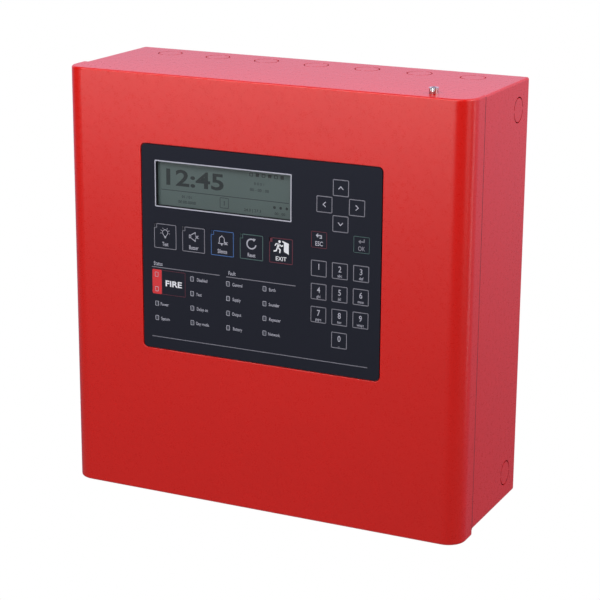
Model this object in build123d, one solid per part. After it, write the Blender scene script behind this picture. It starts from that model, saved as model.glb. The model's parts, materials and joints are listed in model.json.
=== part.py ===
"""Wall-mounted fire alarm control panel: steel back box, hinged door, fascia with keys, boards and batteries.

Row frame, in millimetres: +X to the right, +Z up, the front faces -Y and the wall is the plane Y = 0.
The origin is the centre of the four wall-fixing holes, on the back face of the box.
"""
from build123d import *
from math import cos, radians, sin
import os

# ---------------------------------------------------------------- driving dimensions
SHEET = 1.2             # folded steel sheet
BOX_W, BOX_H, BOX_D = 385.0, 383.0, 109.5
LIP = 12.0              # inward return round the mouth of the box
DOOR_W, DOOR_H, DOOR_D = 386.0, 389.0, 31.2
DOOR_TOP = BOX_H / 2 + 1.0
DOOR_CORNER = 17.0      # plan radius of the door's two upright edges
BEND = 2.0              # bend radius of the door's top and bottom edges
SEAM = 0.8              # gap between the door and the box
MOUTH_BEND = 1.0        # outer bend radius round the mouth of the box

FIXING_X, FIXING_Z, FIXING_R = 344.0, 330.0, 3.5
KNOCKOUT_R, KNOCKOUT_PITCH, KNOCKOUT_BACK = 11.5, 50.0, 26.0
KNOCKOUT_GROOVE, KNOCKOUT_BRIDGE = 1.0, 2.4
KNOCKOUT_SIDE_INSET = 25.0

FASCIA_W, FASCIA_H, FASCIA_R = 231.0, 186.5, 4.0
FASCIA_BELOW_TOP = 156.0    # from the door's top edge down to the fascia's centre
FASCIA_SINK, FASCIA_T = 0.2, 2.0
FASCIA_GAP = 0.8            # shadow gap round the fascia
SCREEN_W, SCREEN_H = 132.0, 40.0
SCREEN_X, SCREEN_DROP = -35.4, 34.5
GLASS_DEPTH, GLASS_T = 4.2, 2.2     # screen glass behind the door's front face

BIG_KEY, SMALL_KEY_W, SMALL_KEY_H = 22.5, 14.8, 14.4
KEY_GAP, KEY_TRAVEL = 0.15, 0.4
STEM_R, STEM_END = 1.7, 11.0
FUNCTION_PITCH, FUNCTION_DROP = 28.6, 82.0
PAD_X, PAD_PITCH_X, PAD_PITCH_Z, PAD_DROP = 77.7, 19.8, 20.6, 93.3
ARROW_DROP, ARROW_X, ARROW_Z = 36.5, 15.1, 15.6
CONFIRM_DROP = 68.0
LED_X, LED_DROP, LED_PITCH_X, LED_PITCH_Z = -101.8, 117.8, 35.9, 13.45
LED_W, LED_H = 3.3, 4.3

BOARD_T = 1.6
DISPLAY_BOARD_W, DISPLAY_BOARD_H, DISPLAY_BOARD_DEPTH = 256.0, 204.0, 14.0
STUD_R, STUD_INSET = 1.5, 5.0

HINGE_Z, HINGE_H, KNUCKLE_R, PIN_R = 130.0, 40.0, 4.0, 1.9
HINGE_OUT = 4.4             # pivot beyond the door's side face
LEAF_T, LEAF_REACH = 1.5, 26.0

LATCH_X, LATCH_BACK = 152.0, 19.0
LATCH_HEAD_R, LATCH_HEAD_H, SPINDLE_R = 4.2, 5.0, 3.0
FLUTES, FLUTE_R, FLUTE_TURN = 8, 0.7, -68.0     # drive flutes round the latch head
CAM_REACH, CAM_HALF, CAM_T, CAM_DROP = 12.0, 4.0, 2.5, 5.5

BATTERY_W, BATTERY_D, BATTERY_H, BATTERY_GAP = 151.0, 65.0, 94.0, 3.0

# ---------------------------------------------------------------- derived places
FRONT = -(BOX_D + SEAM + DOOR_D)
DOOR_BACK = FRONT + DOOR_D
DOOR_BOTTOM = DOOR_TOP - DOOR_H
FASCIA_Z = DOOR_TOP - FASCIA_BELOW_TOP
FASCIA_TOP = FASCIA_Z + FASCIA_H / 2
POCKET_DEPTH = FASCIA_SINK + FASCIA_T
POCKET_BACK = POCKET_DEPTH + SHEET
SCREEN_Z = FASCIA_TOP - SCREEN_DROP
PIVOT_X = -DOOR_W / 2 - HINGE_OUT
PIVOT_Y = -BOX_D - SEAM / 2
LATCH_Y = FRONT + LATCH_BACK
BOX_FLOOR = -BOX_H / 2 + SHEET
BOX_BACK = -SHEET


# ---------------------------------------------------------------- helpers
def depth(value):
    """Y of a plane that lies this far behind the door's front face."""
    return FRONT + value


def block(x, y, z):
    """Box between a low and a high limit on each axis."""
    size = [limit[1] - limit[0] for limit in (x, y, z)]
    return Pos(sum(x) / 2, sum(y) / 2, sum(z) / 2) * Box(*size)


def slab(centre_x, centre_z, width, height, y, radius=0.0):
    """Upright plate in X and Z between two Y limits, with rounded corners."""
    plate = block(
        (centre_x - width / 2, centre_x + width / 2), y, (centre_z - height / 2, centre_z + height / 2)
    )
    return fillet(plate.edges().filter_by(Axis.Y), radius) if radius else plate


def rod_y(radius, x, z, y):
    """Round bar along Y."""
    return Pos(x, sum(y) / 2, z) * Rot(90, 0, 0) * Cylinder(radius, y[1] - y[0])


def rod_z(radius, x, y, z):
    """Round bar along Z."""
    return Pos(x, y, sum(z) / 2) * Cylinder(radius, z[1] - z[0])


def rod_x(radius, y, z, x):
    """Round bar along X."""
    return Pos(sum(x) / 2, y, z) * Rot(0, 90, 0) * Cylinder(radius, x[1] - x[0])


def hex_z(flats, x, y, z):
    """Hexagonal bar along Z."""
    prism = extrude(RegularPolygon(flats / 3**0.5, 6), z[1] - z[0])
    return Pos(x, y, z[0]) * prism


def hex_y(flats, x, z, y):
    """Hexagonal bar along Y."""
    prism = extrude(RegularPolygon(flats / 3**0.5, 6), y[1] - y[0])
    return Pos(x, y[1], z) * Rot(90, 0, 0) * prism


def save(node, *solids):
    """Write one node as a STEP file with its separate solids."""
    pieces = [solid for shape in solids for solid in shape.solids()]
    export_step(pieces[0] if len(pieces) == 1 else Compound(children=pieces), f"parts/{node}.step")


# ---------------------------------------------------------------- keys and lamps
def key_layout():
    """Every key as its name, centre and size."""
    names = ("test", "mute", "silence", "reset", "evacuate")
    keys = [
        (f"key_{name}", SCREEN_X + (i - 2) * FUNCTION_PITCH, FASCIA_TOP - FUNCTION_DROP, BIG_KEY, BIG_KEY)
        for i, name in enumerate(names)
    ]
    arrows = {"up": (0, 1), "left": (-1, 0), "right": (1, 0), "down": (0, -1)}
    for name, (side, lift) in arrows.items():
        x, z = PAD_X + side * ARROW_X, FASCIA_TOP - ARROW_DROP + lift * ARROW_Z
        keys.append((f"key_{name}", x, z, SMALL_KEY_W, SMALL_KEY_H))
    for name, side in (("escape", -1), ("enter", 1)):
        x, z = PAD_X + side * PAD_PITCH_X, FASCIA_TOP - CONFIRM_DROP
        keys.append((f"key_{name}", x, z, SMALL_KEY_W, SMALL_KEY_H))
    for digit in range(10):
        row, column = (3, 0) if digit == 0 else ((digit - 1) // 3, (digit - 1) % 3 - 1)
        x, z = PAD_X + column * PAD_PITCH_X, FASCIA_TOP - PAD_DROP - row * PAD_PITCH_Z
        keys.append((f"key_{digit}", x, z, SMALL_KEY_W, SMALL_KEY_H))
    return keys


def lamp_layout():
    """Centres of the sixteen status lamps."""
    return [
        (LED_X + column * LED_PITCH_X, FASCIA_TOP - LED_DROP - row * LED_PITCH_Z)
        for column in range(4)
        for row in range(4)
    ]


def key_ledge(x, z, width, height, y, grow):
    """Plus-shaped ledge that keeps a key behind the fascia, clear of its diagonal neighbours."""
    tall = slab(x, z, width * 0.5 + 2 * grow, height + 1.4 + 2 * grow, y)
    wide = slab(x, z, width + 1.4 + 2 * grow, height * 0.5 + 2 * grow, y)
    return tall + wide


def make_keys():
    """Keys with their tile, retaining ledge and stem."""
    for name, x, z, width, height in key_layout():
        tile = slab(x, z, width, height, (depth(FASCIA_SINK), depth(1.5)), 0.8)
        ledge = key_ledge(x, z, width, height, (depth(1.25), depth(1.7)), 0.0)
        stem = rod_y(STEM_R, x, z, (depth(1.4), depth(STEM_END)))
        save(name, tile + ledge + stem)


def make_fascia():
    """Fascia plate, its clear screen window and the sixteen lamp windows."""
    y = (depth(FASCIA_SINK), depth(POCKET_DEPTH))
    fascia = slab(0, FASCIA_Z, FASCIA_W, FASCIA_H, y, FASCIA_R)
    through = (y[0] - 1, y[1] + 1)
    cuts = [slab(SCREEN_X, SCREEN_Z, SCREEN_W, SCREEN_H, through)]
    for _, x, z, width, height in key_layout():
        cuts.append(slab(x, z, width + 2 * KEY_GAP, height + 2 * KEY_GAP, through, 0.9))
        cuts.append(key_ledge(x, z, width, height, (depth(1.2), through[1]), 0.2))
    cuts += [slab(x, z, LED_W, LED_H, through) for x, z in lamp_layout()]
    save("fascia_overlay", fascia - cuts)
    save("display_window", slab(SCREEN_X, SCREEN_Z, SCREEN_W, SCREEN_H, (y[0], depth(1.2))))
    save("led_windows", *[slab(x, z, LED_W, LED_H, y) for x, z in lamp_layout()])


# ---------------------------------------------------------------- door
def stud_places():
    """Centres of the four studs that carry the display board."""
    reach_x, reach_z = DISPLAY_BOARD_W / 2 - STUD_INSET, DISPLAY_BOARD_H / 2 - STUD_INSET
    return [(i * reach_x, FASCIA_Z + j * reach_z) for i in (-1, 1) for j in (-1, 1)]


def rounded_pan(inset, radius, bend, y):
    """Solid block of the door's outline, inset all round, with its front edges rounded."""
    x = DOOR_W / 2 - inset
    pan = block((-x, x), y, (DOOR_BOTTOM + inset, DOOR_TOP - inset))
    uprights = pan.edges().filter_by(Axis.Z).group_by(Axis.Y)[0]
    pan = fillet(uprights, radius)
    ends = pan.faces().filter_by(Axis.Z).edges()
    return fillet([edge for edge in ends if edge.center().Y < y[1] - 1e-3], bend)


def make_door():
    """Door shell: a shallow pan with a formed pocket for the fascia and welded studs."""
    shell = rounded_pan(0, DOOR_CORNER, BEND, (FRONT, DOOR_BACK))
    shell -= rounded_pan(SHEET, DOOR_CORNER - SHEET, BEND - SHEET, (depth(SHEET), DOOR_BACK + 5))
    pocket_w, pocket_h = FASCIA_W + 2 * FASCIA_GAP, FASCIA_H + 2 * FASCIA_GAP
    pocket_r = FASCIA_R + FASCIA_GAP
    skirt_w, skirt_h = pocket_w + 2 * SHEET, pocket_h + 2 * SHEET
    shell += slab(0, FASCIA_Z, skirt_w, skirt_h, (depth(0.6), depth(POCKET_BACK)), pocket_r + SHEET)
    shell -= slab(0, FASCIA_Z, pocket_w, pocket_h, (FRONT - 1, depth(POCKET_DEPTH)), pocket_r)
    through = (FRONT - 1, depth(POCKET_BACK + 1))
    cuts = [slab(SCREEN_X, SCREEN_Z, SCREEN_W + 2, SCREEN_H + 2, through)]
    cuts += [rod_y(3.5, x, z, through) for _, x, z, _, _ in key_layout()]
    cuts += [rod_y(2.6, x, z, through) for x, z in lamp_layout()]
    cuts.append(rod_z(4.0, LATCH_X, LATCH_Y, (DOOR_TOP - 5, DOOR_TOP + 5)))
    shell -= cuts
    rim = [
        edge for edge in shell.edges()
        if abs(edge.center().Y - FRONT) < 1e-3 and abs(edge.center().X) < FASCIA_W / 2 + 2
        and abs(edge.center().Z - FASCIA_Z) < FASCIA_H / 2 + 2
    ]
    shell = fillet(rim, 0.5)
    for x, z in stud_places():
        shell += rod_y(STUD_R, x, z, (depth(SHEET / 2), depth(DISPLAY_BOARD_DEPTH + BOARD_T + 3.2)))
    save("door_shell", shell)


def make_display():
    """Screen module, display board, switches, lamps, buzzer and the board's fixings."""
    glass_back = GLASS_DEPTH + GLASS_T
    bezel = slab(SCREEN_X, SCREEN_Z, 148, 54, (depth(GLASS_DEPTH - 0.6), depth(9.6)), 1.0)
    bezel -= slab(SCREEN_X, SCREEN_Z, 146.8, 52.8, (depth(GLASS_DEPTH), depth(10)))
    bezel -= slab(SCREEN_X, SCREEN_Z, SCREEN_W, SCREEN_H, (depth(3), depth(5)))
    save("lcd_bezel", bezel)
    save("lcd_glass", slab(SCREEN_X, SCREEN_Z, 142, 48, (depth(GLASS_DEPTH), depth(glass_back))))
    module = slab(SCREEN_X, SCREEN_Z, 140, 46, (depth(glass_back), depth(9.7)))
    module += slab(SCREEN_X, SCREEN_Z, 156, 62, (depth(9.6), depth(9.6 + BOARD_T)))
    module += slab(SCREEN_X, SCREEN_Z + 27, 50, 5, (depth(11), depth(DISPLAY_BOARD_DEPTH)))
    save("lcd_board", module)

    rear = DISPLAY_BOARD_DEPTH + BOARD_T
    board = slab(0, FASCIA_Z, DISPLAY_BOARD_W, DISPLAY_BOARD_H, (depth(DISPLAY_BOARD_DEPTH), depth(rear)), 3)
    board -= [rod_y(STUD_R + 0.2, x, z, (depth(5), depth(20))) for x, z in stud_places()]
    save("display_board", board)

    switches = []
    for _, x, z, _, _ in key_layout():
        body = slab(x, z, 6, 6, (depth(10.5), depth(DISPLAY_BOARD_DEPTH)), 0.4)
        switches.append(body - rod_y(STEM_R + 0.2, x, z, (depth(10), depth(12.6))))
    save("tactile_switches", *switches)

    lamps = [rod_y(2.0, x, z, (depth(2.6), depth(DISPLAY_BOARD_DEPTH))) for x, z in lamp_layout()]
    save("status_leds", *lamps)

    buzzer_x, buzzer_z = 96.0, FASCIA_Z - 78.0
    buzzer = rod_y(12, buzzer_x, buzzer_z, (depth(rear), depth(rear + 9)))
    buzzer -= rod_y(1.5, buzzer_x, buzzer_z, (depth(rear + 3), depth(rear + 10)))
    save("buzzer", buzzer)

    fixings = []
    for x, z in stud_places():
        bore = rod_y(STUD_R + 0.05, x, z, (depth(0), depth(30)))
        fixings.append(rod_y(3, x, z, (depth(SHEET), depth(DISPLAY_BOARD_DEPTH))) - bore)
        fixings.append(hex_y(5.5, x, z, (depth(rear), depth(rear + 2.4))) - bore)
    save("display_fixings", *fixings)


# ---------------------------------------------------------------- back box
def knockout_places():
    """Knockout centres: seven along the top, and two on each side as (side, z)."""
    top = [(i - 3) * KNOCKOUT_PITCH for i in range(7)]
    reach = BOX_H / 2 - KNOCKOUT_SIDE_INSET
    sides = [(side, z) for side in (-1, 1) for z in (-reach, reach)]
    return top, sides


def make_box():
    """Folded steel back box with a return lip, wall-fixing holes and knockouts."""
    x, z = BOX_W / 2, BOX_H / 2
    shell = block((-x, x), (-BOX_D, 0), (-z, z))
    shell = fillet(shell.edges().filter_by(Axis.Y), BEND)
    shell = fillet(shell.faces().sort_by(Axis.Y)[-1].edges(), BEND - 0.5)
    shell = fillet(shell.faces().sort_by(Axis.Y)[0].edges(), MOUTH_BEND)
    shell -= slab(0, 0, BOX_W - 2 * SHEET, BOX_H - 2 * SHEET, (-BOX_D - 1, BOX_BACK), BEND - SHEET)
    lip = slab(0, 0, BOX_W - 2 * MOUTH_BEND, BOX_H - 2 * MOUTH_BEND, (-BOX_D, -BOX_D + SHEET), BEND - 0.5)
    mouth_w, mouth_h = BOX_W - 2 * (SHEET + LIP), BOX_H - 2 * (SHEET + LIP)
    lip -= slab(0, 0, mouth_w, mouth_h, (-BOX_D - 1, -BOX_D + 3), 3)
    shell += lip

    cuts = [
        rod_y(FIXING_R, i * FIXING_X / 2, j * FIXING_Z / 2, (-5, 5)) for i in (-1, 1) for j in (-1, 1)
    ]
    top, sides = knockout_places()
    cuts += [rod_z(KNOCKOUT_R, place, -KNOCKOUT_BACK, (z - 5, z + 5)) for place in top]
    cuts += [
        rod_x(KNOCKOUT_R, -KNOCKOUT_BACK, place, (side * x - 5, side * x + 5)) for side, place in sides
    ]
    save("back_box", shell - cuts)

    discs = []
    disc_r, bridge = KNOCKOUT_R - KNOCKOUT_GROOVE, KNOCKOUT_BRIDGE
    for place in top:
        disc = rod_z(disc_r, place, -KNOCKOUT_BACK, (z - SHEET, z))
        bar = block(
            (place - bridge / 2, place + bridge / 2),
            (-KNOCKOUT_BACK - KNOCKOUT_R, -KNOCKOUT_BACK + KNOCKOUT_R), (z - SHEET, z),
        )
        discs.append(disc + (bar & rod_z(KNOCKOUT_R - 0.02, place, -KNOCKOUT_BACK, (z - SHEET, z))))
    for side, place in sides:
        wall = sorted((side * x, side * (x - SHEET)))
        disc = rod_x(disc_r, -KNOCKOUT_BACK, place, wall)
        bar = block(
            wall, (-KNOCKOUT_BACK - KNOCKOUT_R, -KNOCKOUT_BACK + KNOCKOUT_R),
            (place - bridge / 2, place + bridge / 2),
        )
        discs.append(disc + (bar & rod_x(KNOCKOUT_R - 0.02, -KNOCKOUT_BACK, place, wall)))
    save("knockout_discs", *discs)


# ---------------------------------------------------------------- hinges and latch
def make_hinges():
    """Two butt hinges outside the left side: leaves, knuckles and pins."""
    half, gap, notch = HINGE_H / 2, 0.25, 4.9
    middle = half / 2 - 0.75
    box_leaves, door_leaves, pins = [], [], []
    for z in (-HINGE_Z, HINGE_Z):
        outer = [(z - half, z - middle - gap), (z + middle + gap, z + half)]
        inner = (z - middle + gap, z + middle - gap)
        bore = rod_z(PIN_R, PIVOT_X, PIVOT_Y, (z - 30, z + 30))
        loose_bore = rod_z(PIN_R + 0.08, PIVOT_X, PIVOT_Y, (z - 30, z + 30))

        wall = (-BOX_W / 2 - LEAF_T, -BOX_W / 2)
        leaf = block(wall, (PIVOT_Y + notch, PIVOT_Y + LEAF_REACH), (z - half, z + half))
        for span in outer:
            leaf += block(wall, (PIVOT_Y, PIVOT_Y + notch + 0.1), span)
            leaf += rod_z(KNUCKLE_R, PIVOT_X, PIVOT_Y, span)
        leaf += [rod_x(2.6, PIVOT_Y + 16, z + i * 13, (wall[0] - 0.8, wall[1])) for i in (-1, 1)]
        box_leaves.append(leaf - bore)

        wall = (-DOOR_W / 2 - LEAF_T, -DOOR_W / 2)
        leaf = block(wall, (DOOR_BACK - 13, PIVOT_Y - notch), (z - half, z + half))
        leaf += block(wall, (PIVOT_Y - notch - 0.1, PIVOT_Y), inner)
        leaf += rod_z(KNUCKLE_R, PIVOT_X, PIVOT_Y, inner)
        leaf += [rod_x(1.8, DOOR_BACK - 8.5, z + i * 13, (wall[0] - 0.7, wall[1])) for i in (-1, 1)]
        door_leaves.append(leaf - loose_bore)

        pin = rod_z(PIN_R, PIVOT_X, PIVOT_Y, (z - half, z + half))
        pin += rod_z(PIN_R + 0.9, PIVOT_X, PIVOT_Y, (z + half, z + half + 1.4))
        pins.append(pin)
    save("hinge_box_leaves", *box_leaves)
    save("hinge_door_leaves", *door_leaves)
    save("hinge_pins", *pins)


def make_latch():
    """Quarter-turn latch in the door's top flange and its keeper on the box."""
    under = DOOR_TOP - SHEET
    bush = rod_z(4.0, LATCH_X, LATCH_Y, (under - 2, DOOR_TOP))
    bush += rod_z(6.5, LATCH_X, LATCH_Y, (under - 2, under))
    save("latch_bush", bush - rod_z(SPINDLE_R + 0.05, LATCH_X, LATCH_Y, (under - 5, DOOR_TOP + 5)))

    head_base = DOOR_TOP + 0.1
    cam_top = DOOR_TOP - CAM_DROP
    cam_base = cam_top - CAM_T
    head = rod_z(LATCH_HEAD_R, LATCH_X, LATCH_Y, (head_base, head_base + LATCH_HEAD_H))
    head = chamfer(head.edges().group_by(Axis.Z)[-1], 0.4)
    head -= hex_z(4.0, LATCH_X, LATCH_Y, (head_base + 2.0, head_base + LATCH_HEAD_H + 1))
    turns = [radians(FLUTE_TURN + 360 / FLUTES * i) for i in range(FLUTES)]
    flute_z = (head_base + 0.8, head_base + LATCH_HEAD_H + 1)
    head -= [
        rod_z(FLUTE_R, LATCH_X + LATCH_HEAD_R * cos(a), LATCH_Y + LATCH_HEAD_R * sin(a), flute_z) for a in turns
    ]
    head += rod_z(SPINDLE_R, LATCH_X, LATCH_Y, (cam_base - 3.2, head_base + 0.5))
    save("latch_spindle", head)

    arm_x = (LATCH_X - CAM_HALF, LATCH_X + CAM_HALF)
    arm = block(arm_x, (LATCH_Y - 4.5, LATCH_Y + CAM_REACH), (cam_base, cam_top))
    arm &= rod_z(CAM_REACH, LATCH_X, LATCH_Y, (cam_base, cam_top))
    nut = hex_z(8.0, LATCH_X, LATCH_Y, (cam_base - 2.6, cam_base))
    bore = rod_z(SPINDLE_R, LATCH_X, LATCH_Y, (cam_base - 5, cam_top + 5))
    save("latch_cam", (arm + nut) - bore)

    keeper_x = (LATCH_X + 7, LATCH_X + 20)
    plate = block(keeper_x, (-BOX_D - LEAF_T, -BOX_D), (cam_base - 5.5, cam_top + 1.5))
    tongue = block(keeper_x, (LATCH_Y - 6.5, -BOX_D), (cam_base - 5.0, cam_base - 3.5))
    catch = block(keeper_x, (LATCH_Y - 6.5, LATCH_Y - 5), (cam_base - 5.0, cam_top + 1.5))
    save("latch_keeper", plate + tongue + catch)


# ---------------------------------------------------------------- main board and field wiring
MAIN_X, MAIN_Z = (-165.0, 60.0), (-72.0, 118.0)
MAIN_Y = BOX_BACK - 10.0            # back face of the main board
MAIN_FRONT = MAIN_Y - BOARD_T
LOOP_X, LOOP_Z, LOOP_GAP = (-52.0, 48.0), (-20.0, 48.0), 12.0


def stand(x, z, y_front):
    """Hexagonal pillar from the back of the box to a board, with its screw."""
    pillar = hex_y(5.5, x, z, (y_front + BOARD_T, BOX_BACK))
    screw = rod_y(1.45, x, z, (y_front, y_front + BOARD_T)) + rod_y(2.8, x, z, (y_front - 2, y_front))
    return pillar, screw


def make_main_board():
    """Main circuit board on pillars, with its field terminals, relays, capacitors, fuses and chips."""
    y = (MAIN_FRONT, MAIN_Y)
    pillar_x, pillar_z = (MAIN_X[0] + 5, sum(MAIN_X) / 2, MAIN_X[1] - 5), (MAIN_Z[0] + 5, MAIN_Z[1] - 5)
    places = [(x, z) for x in pillar_x for z in pillar_z]
    centre_x, centre_z = sum(MAIN_X) / 2, sum(MAIN_Z) / 2
    board = slab(centre_x, centre_z, MAIN_X[1] - MAIN_X[0], MAIN_Z[1] - MAIN_Z[0], y, 2)
    board -= [rod_y(1.5, x, z, (y[0] - 1, y[1] + 1)) for x, z in places]
    save("main_board", board)
    pairs = [stand(x, z, MAIN_FRONT) for x, z in places]
    save("board_standoffs", *[pillar for pillar, _ in pairs])
    save("board_screws", *[screw for _, screw in pairs])

    def on_board(x, z, width, height, rise, base=MAIN_FRONT):
        return slab(x, z, width, height, (base - rise, base))

    pitch, ways, blocks = 5.08, 8, []
    for z, tilt in ((MAIN_Z[1] - 16, 1), (MAIN_Z[0] + 16, -1)):
        for i in range(4):
            x = MAIN_X[0] + 36 + i * 46
            body = on_board(x, z, ways * pitch, 11, 14)
            body -= [
                slab(x + (n - 3.5) * pitch, z + tilt * 5.5, 3.6, 6, (MAIN_FRONT - 8, MAIN_FRONT - 3))
                for n in range(ways)
            ]
            blocks.append(body)
    save("field_terminals", *blocks)

    relays = [on_board(MAIN_X[0] + 26 + i * 20, MAIN_Z[1] - 42, 16, 19, 15.5) for i in range(4)]
    save("relays", *relays)
    cans = [
        rod_y(6.3, MAIN_X[0] + 30 + i * 16, MAIN_Z[0] + 44, (MAIN_FRONT - 20, MAIN_FRONT)) for i in range(4)
    ]
    cans.append(rod_y(9, MAIN_X[1] - 24, MAIN_Z[1] - 44, (MAIN_FRONT - 25, MAIN_FRONT)))
    save("capacitors", *cans)
    fuses = []
    for i in range(5):
        x, z = MAIN_X[0] + 112 + i * 13, MAIN_Z[1] - 42
        clips = on_board(x, z + 8.5, 6.4, 4, 8) + on_board(x, z - 8.5, 6.4, 4, 8)
        tube = Pos(x, MAIN_FRONT - 5.5, z) * Cylinder(2.5, 20)
        fuses.append(clips + tube)
    save("board_fuses", *fuses)
    chips = [
        on_board(MAIN_X[0] + 42, sum(MAIN_Z) / 2 + 2, 20, 20, 1.6),
        on_board(MAIN_X[0] + 76, sum(MAIN_Z) / 2 + 8, 10, 12, 2.2),
        on_board(MAIN_X[0] + 76, sum(MAIN_Z) / 2 - 10, 8, 10, 2.2),
        on_board(MAIN_X[0] + 30, sum(MAIN_Z) / 2 - 22, 18, 7, 4.0),
        on_board(MAIN_X[0] + 62, sum(MAIN_Z) / 2 - 26, 30, 8.5, 9.0),
    ]
    save("chips", *chips)

    loop_y = MAIN_FRONT - LOOP_GAP
    card = slab(sum(LOOP_X) / 2, sum(LOOP_Z) / 2, 100, 68, (loop_y - BOARD_T, loop_y), 2)
    card += slab(sum(LOOP_X) / 2, LOOP_Z[1] - 8, 60, 5, (loop_y - 0.1, MAIN_FRONT))
    card += slab(sum(LOOP_X) / 2, LOOP_Z[0] + 8, 60, 5, (loop_y - 0.1, MAIN_FRONT))
    card += slab(LOOP_X[0] + 28, LOOP_Z[0] + 20, 22, 16, (loop_y - BOARD_T - 9, loop_y - BOARD_T + 0.1))
    card += slab(LOOP_X[1] - 26, LOOP_Z[0] + 42, 13, 13, (loop_y - BOARD_T - 2, loop_y - BOARD_T + 0.1))
    save("loop_card", card)


# ---------------------------------------------------------------- power supply and batteries
PSU_X, PSU_Z, PSU_RISE = (84.0, 181.0), (-40.0, 89.0), 32.0


def make_power():
    """Enclosed power supply, mains terminals, earth studs, batteries and their strap."""
    back, front = BOX_BACK, BOX_BACK - PSU_RISE
    t, z = 1.0, PSU_Z
    chassis = block((PSU_X[0], PSU_X[1]), (back - t, back), z)
    chassis += block((PSU_X[0], PSU_X[0] + t), (front, back), z)
    chassis += block((PSU_X[1] - t, PSU_X[1]), (front, back), z)
    save("psu_chassis", chassis)

    cover_z = (z[0] + 20, z[1])
    inner = (PSU_X[0] + t, PSU_X[1] - t)
    cover = block(inner, (front, front + t), cover_z)
    cover += block(inner, (front, back - t), (z[1] - t, z[1]))
    columns, rows = 9, 12
    vents = [
        slab(PSU_X[0] + 16 + i * 8.1, z[0] + 32 + j * 8.0, 4.5, 4.5, (front - 1, front + t + 1))
        for i in range(columns)
        for j in range(rows)
    ]
    save("psu_cover", cover - vents)

    centre = sum(PSU_X) / 2
    board_y = (back - 6, back - 6 + BOARD_T)
    board = block((inner[0] + 1, inner[1] - 1), board_y, (z[0] + 2, z[1] - 3))
    board += slab(centre - 16, z[0] + 74, 34, 30, (back - 27, board_y[0] + 0.1))
    board += slab(centre + 26, z[0] + 90, 28, 40, (back - 22, board_y[0] + 0.1))
    board += rod_y(10, centre + 26, z[0] + 50, (back - 26, board_y[0] + 0.1))
    board += rod_y(6, centre - 24, z[0] + 44, (back - 24, board_y[0] + 0.1))
    board += block((inner[0] + 2, inner[1] - 2), (back - 20, board_y[0] + 0.1), (z[0] + 3, z[0] + 17))
    save("psu_board", board)

    mains_z = PSU_Z[1] + 40
    block_x = (PSU_X[0] + 18, PSU_X[0] + 78)
    mains = block(block_x, (back - 8, back), (mains_z - 11, mains_z + 11))
    mains += block(block_x, (back - 20, back - 7.9), (mains_z - 7, mains_z + 7))
    mains -= [rod_y(2.4, block_x[0] + 6 + i * 9.6, mains_z, (back - 21, back - 12)) for i in range(6)]
    save("mains_terminal_block", mains)

    studs = []
    for x in (PSU_X[0] - 12, PSU_X[0] - 30):
        stud = rod_y(2.4, x, mains_z + 20, (back - 20, back))
        stud += hex_y(8, x, mains_z + 20, (back - 3.6, back))
        studs.append(stud + hex_y(8, x, mains_z + 20, (back - 11, back - 7.4)))
    save("earth_studs", *studs)

    battery_back = BOX_BACK - 0.5
    battery_y = (battery_back - BATTERY_D, battery_back)
    battery_z = (BOX_FLOOR, BOX_FLOOR + BATTERY_H)
    tabs = []
    for side, name in ((-1, "battery_left"), (1, "battery_right")):
        x = sorted((side * BATTERY_GAP / 2, side * (BATTERY_GAP / 2 + BATTERY_W)))
        case = block(x, battery_y, battery_z)
        case = fillet(case.edges().filter_by(Axis.Z), 2.5)
        groove_z = battery_z[1] - 14
        groove = block((x[0] - 1, x[1] + 1), (battery_y[0] - 1, battery_y[1] + 1), (groove_z, groove_z + 0.8))
        core_x, core_y = (x[0] + 0.6, x[1] - 0.6), (battery_y[0] + 0.6, battery_y[1] - 0.6)
        groove -= block(core_x, core_y, (groove_z, groove_z + 0.8))
        save(name, case - groove)
        tab_y, tab_z = (battery_y[0] + 14, battery_y[0] + 19), (battery_z[1], battery_z[1] + 7)
        for end in (x[0] + 12, x[1] - 12):
            tabs.append(block((end - 0.4, end + 0.4), tab_y, tab_z))
    save("battery_terminals", *tabs)

    half, strip = BATTERY_GAP / 2 + BATTERY_W + 4, 1.5
    strap_z, strap_front = (-150.0, -130.0), battery_y[0] - 0.5
    strap = block((-half, half), (strap_front - strip, strap_front), strap_z)
    for side in (-1, 1):
        strap += block(sorted((side * half, side * (half - strip))), (strap_front - strip, BOX_BACK), strap_z)
        foot_x = sorted((side * (half - strip), side * (half + 14)))
        strap += block(foot_x, (BOX_BACK - strip, BOX_BACK), strap_z)
        head_y = (BOX_BACK - strip - 2.2, BOX_BACK - strip + 0.1)
        strap += rod_y(3.5, side * (half + 8), sum(strap_z) / 2, head_y)
    save("battery_strap", strap)


def main():
    """Write every node."""
    os.makedirs("parts", exist_ok=True)
    make_box()
    make_hinges()
    make_latch()
    make_door()
    make_fascia()
    make_keys()
    make_display()
    make_main_board()
    make_power()


main()
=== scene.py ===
"""Fire alarm control panel: finishes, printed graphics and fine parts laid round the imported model.

The panel's sizes are in millimetres until a mesh is finished, when it is scaled to metres. The studio's
sizes are in metres from the start.
"""
import json
import logging
import math
import random
from collections.abc import Callable, Iterable, Sequence
from dataclasses import dataclass, field
from enum import Enum

import bmesh
import bpy
from mathutils import Euler, Matrix, Vector

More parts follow.
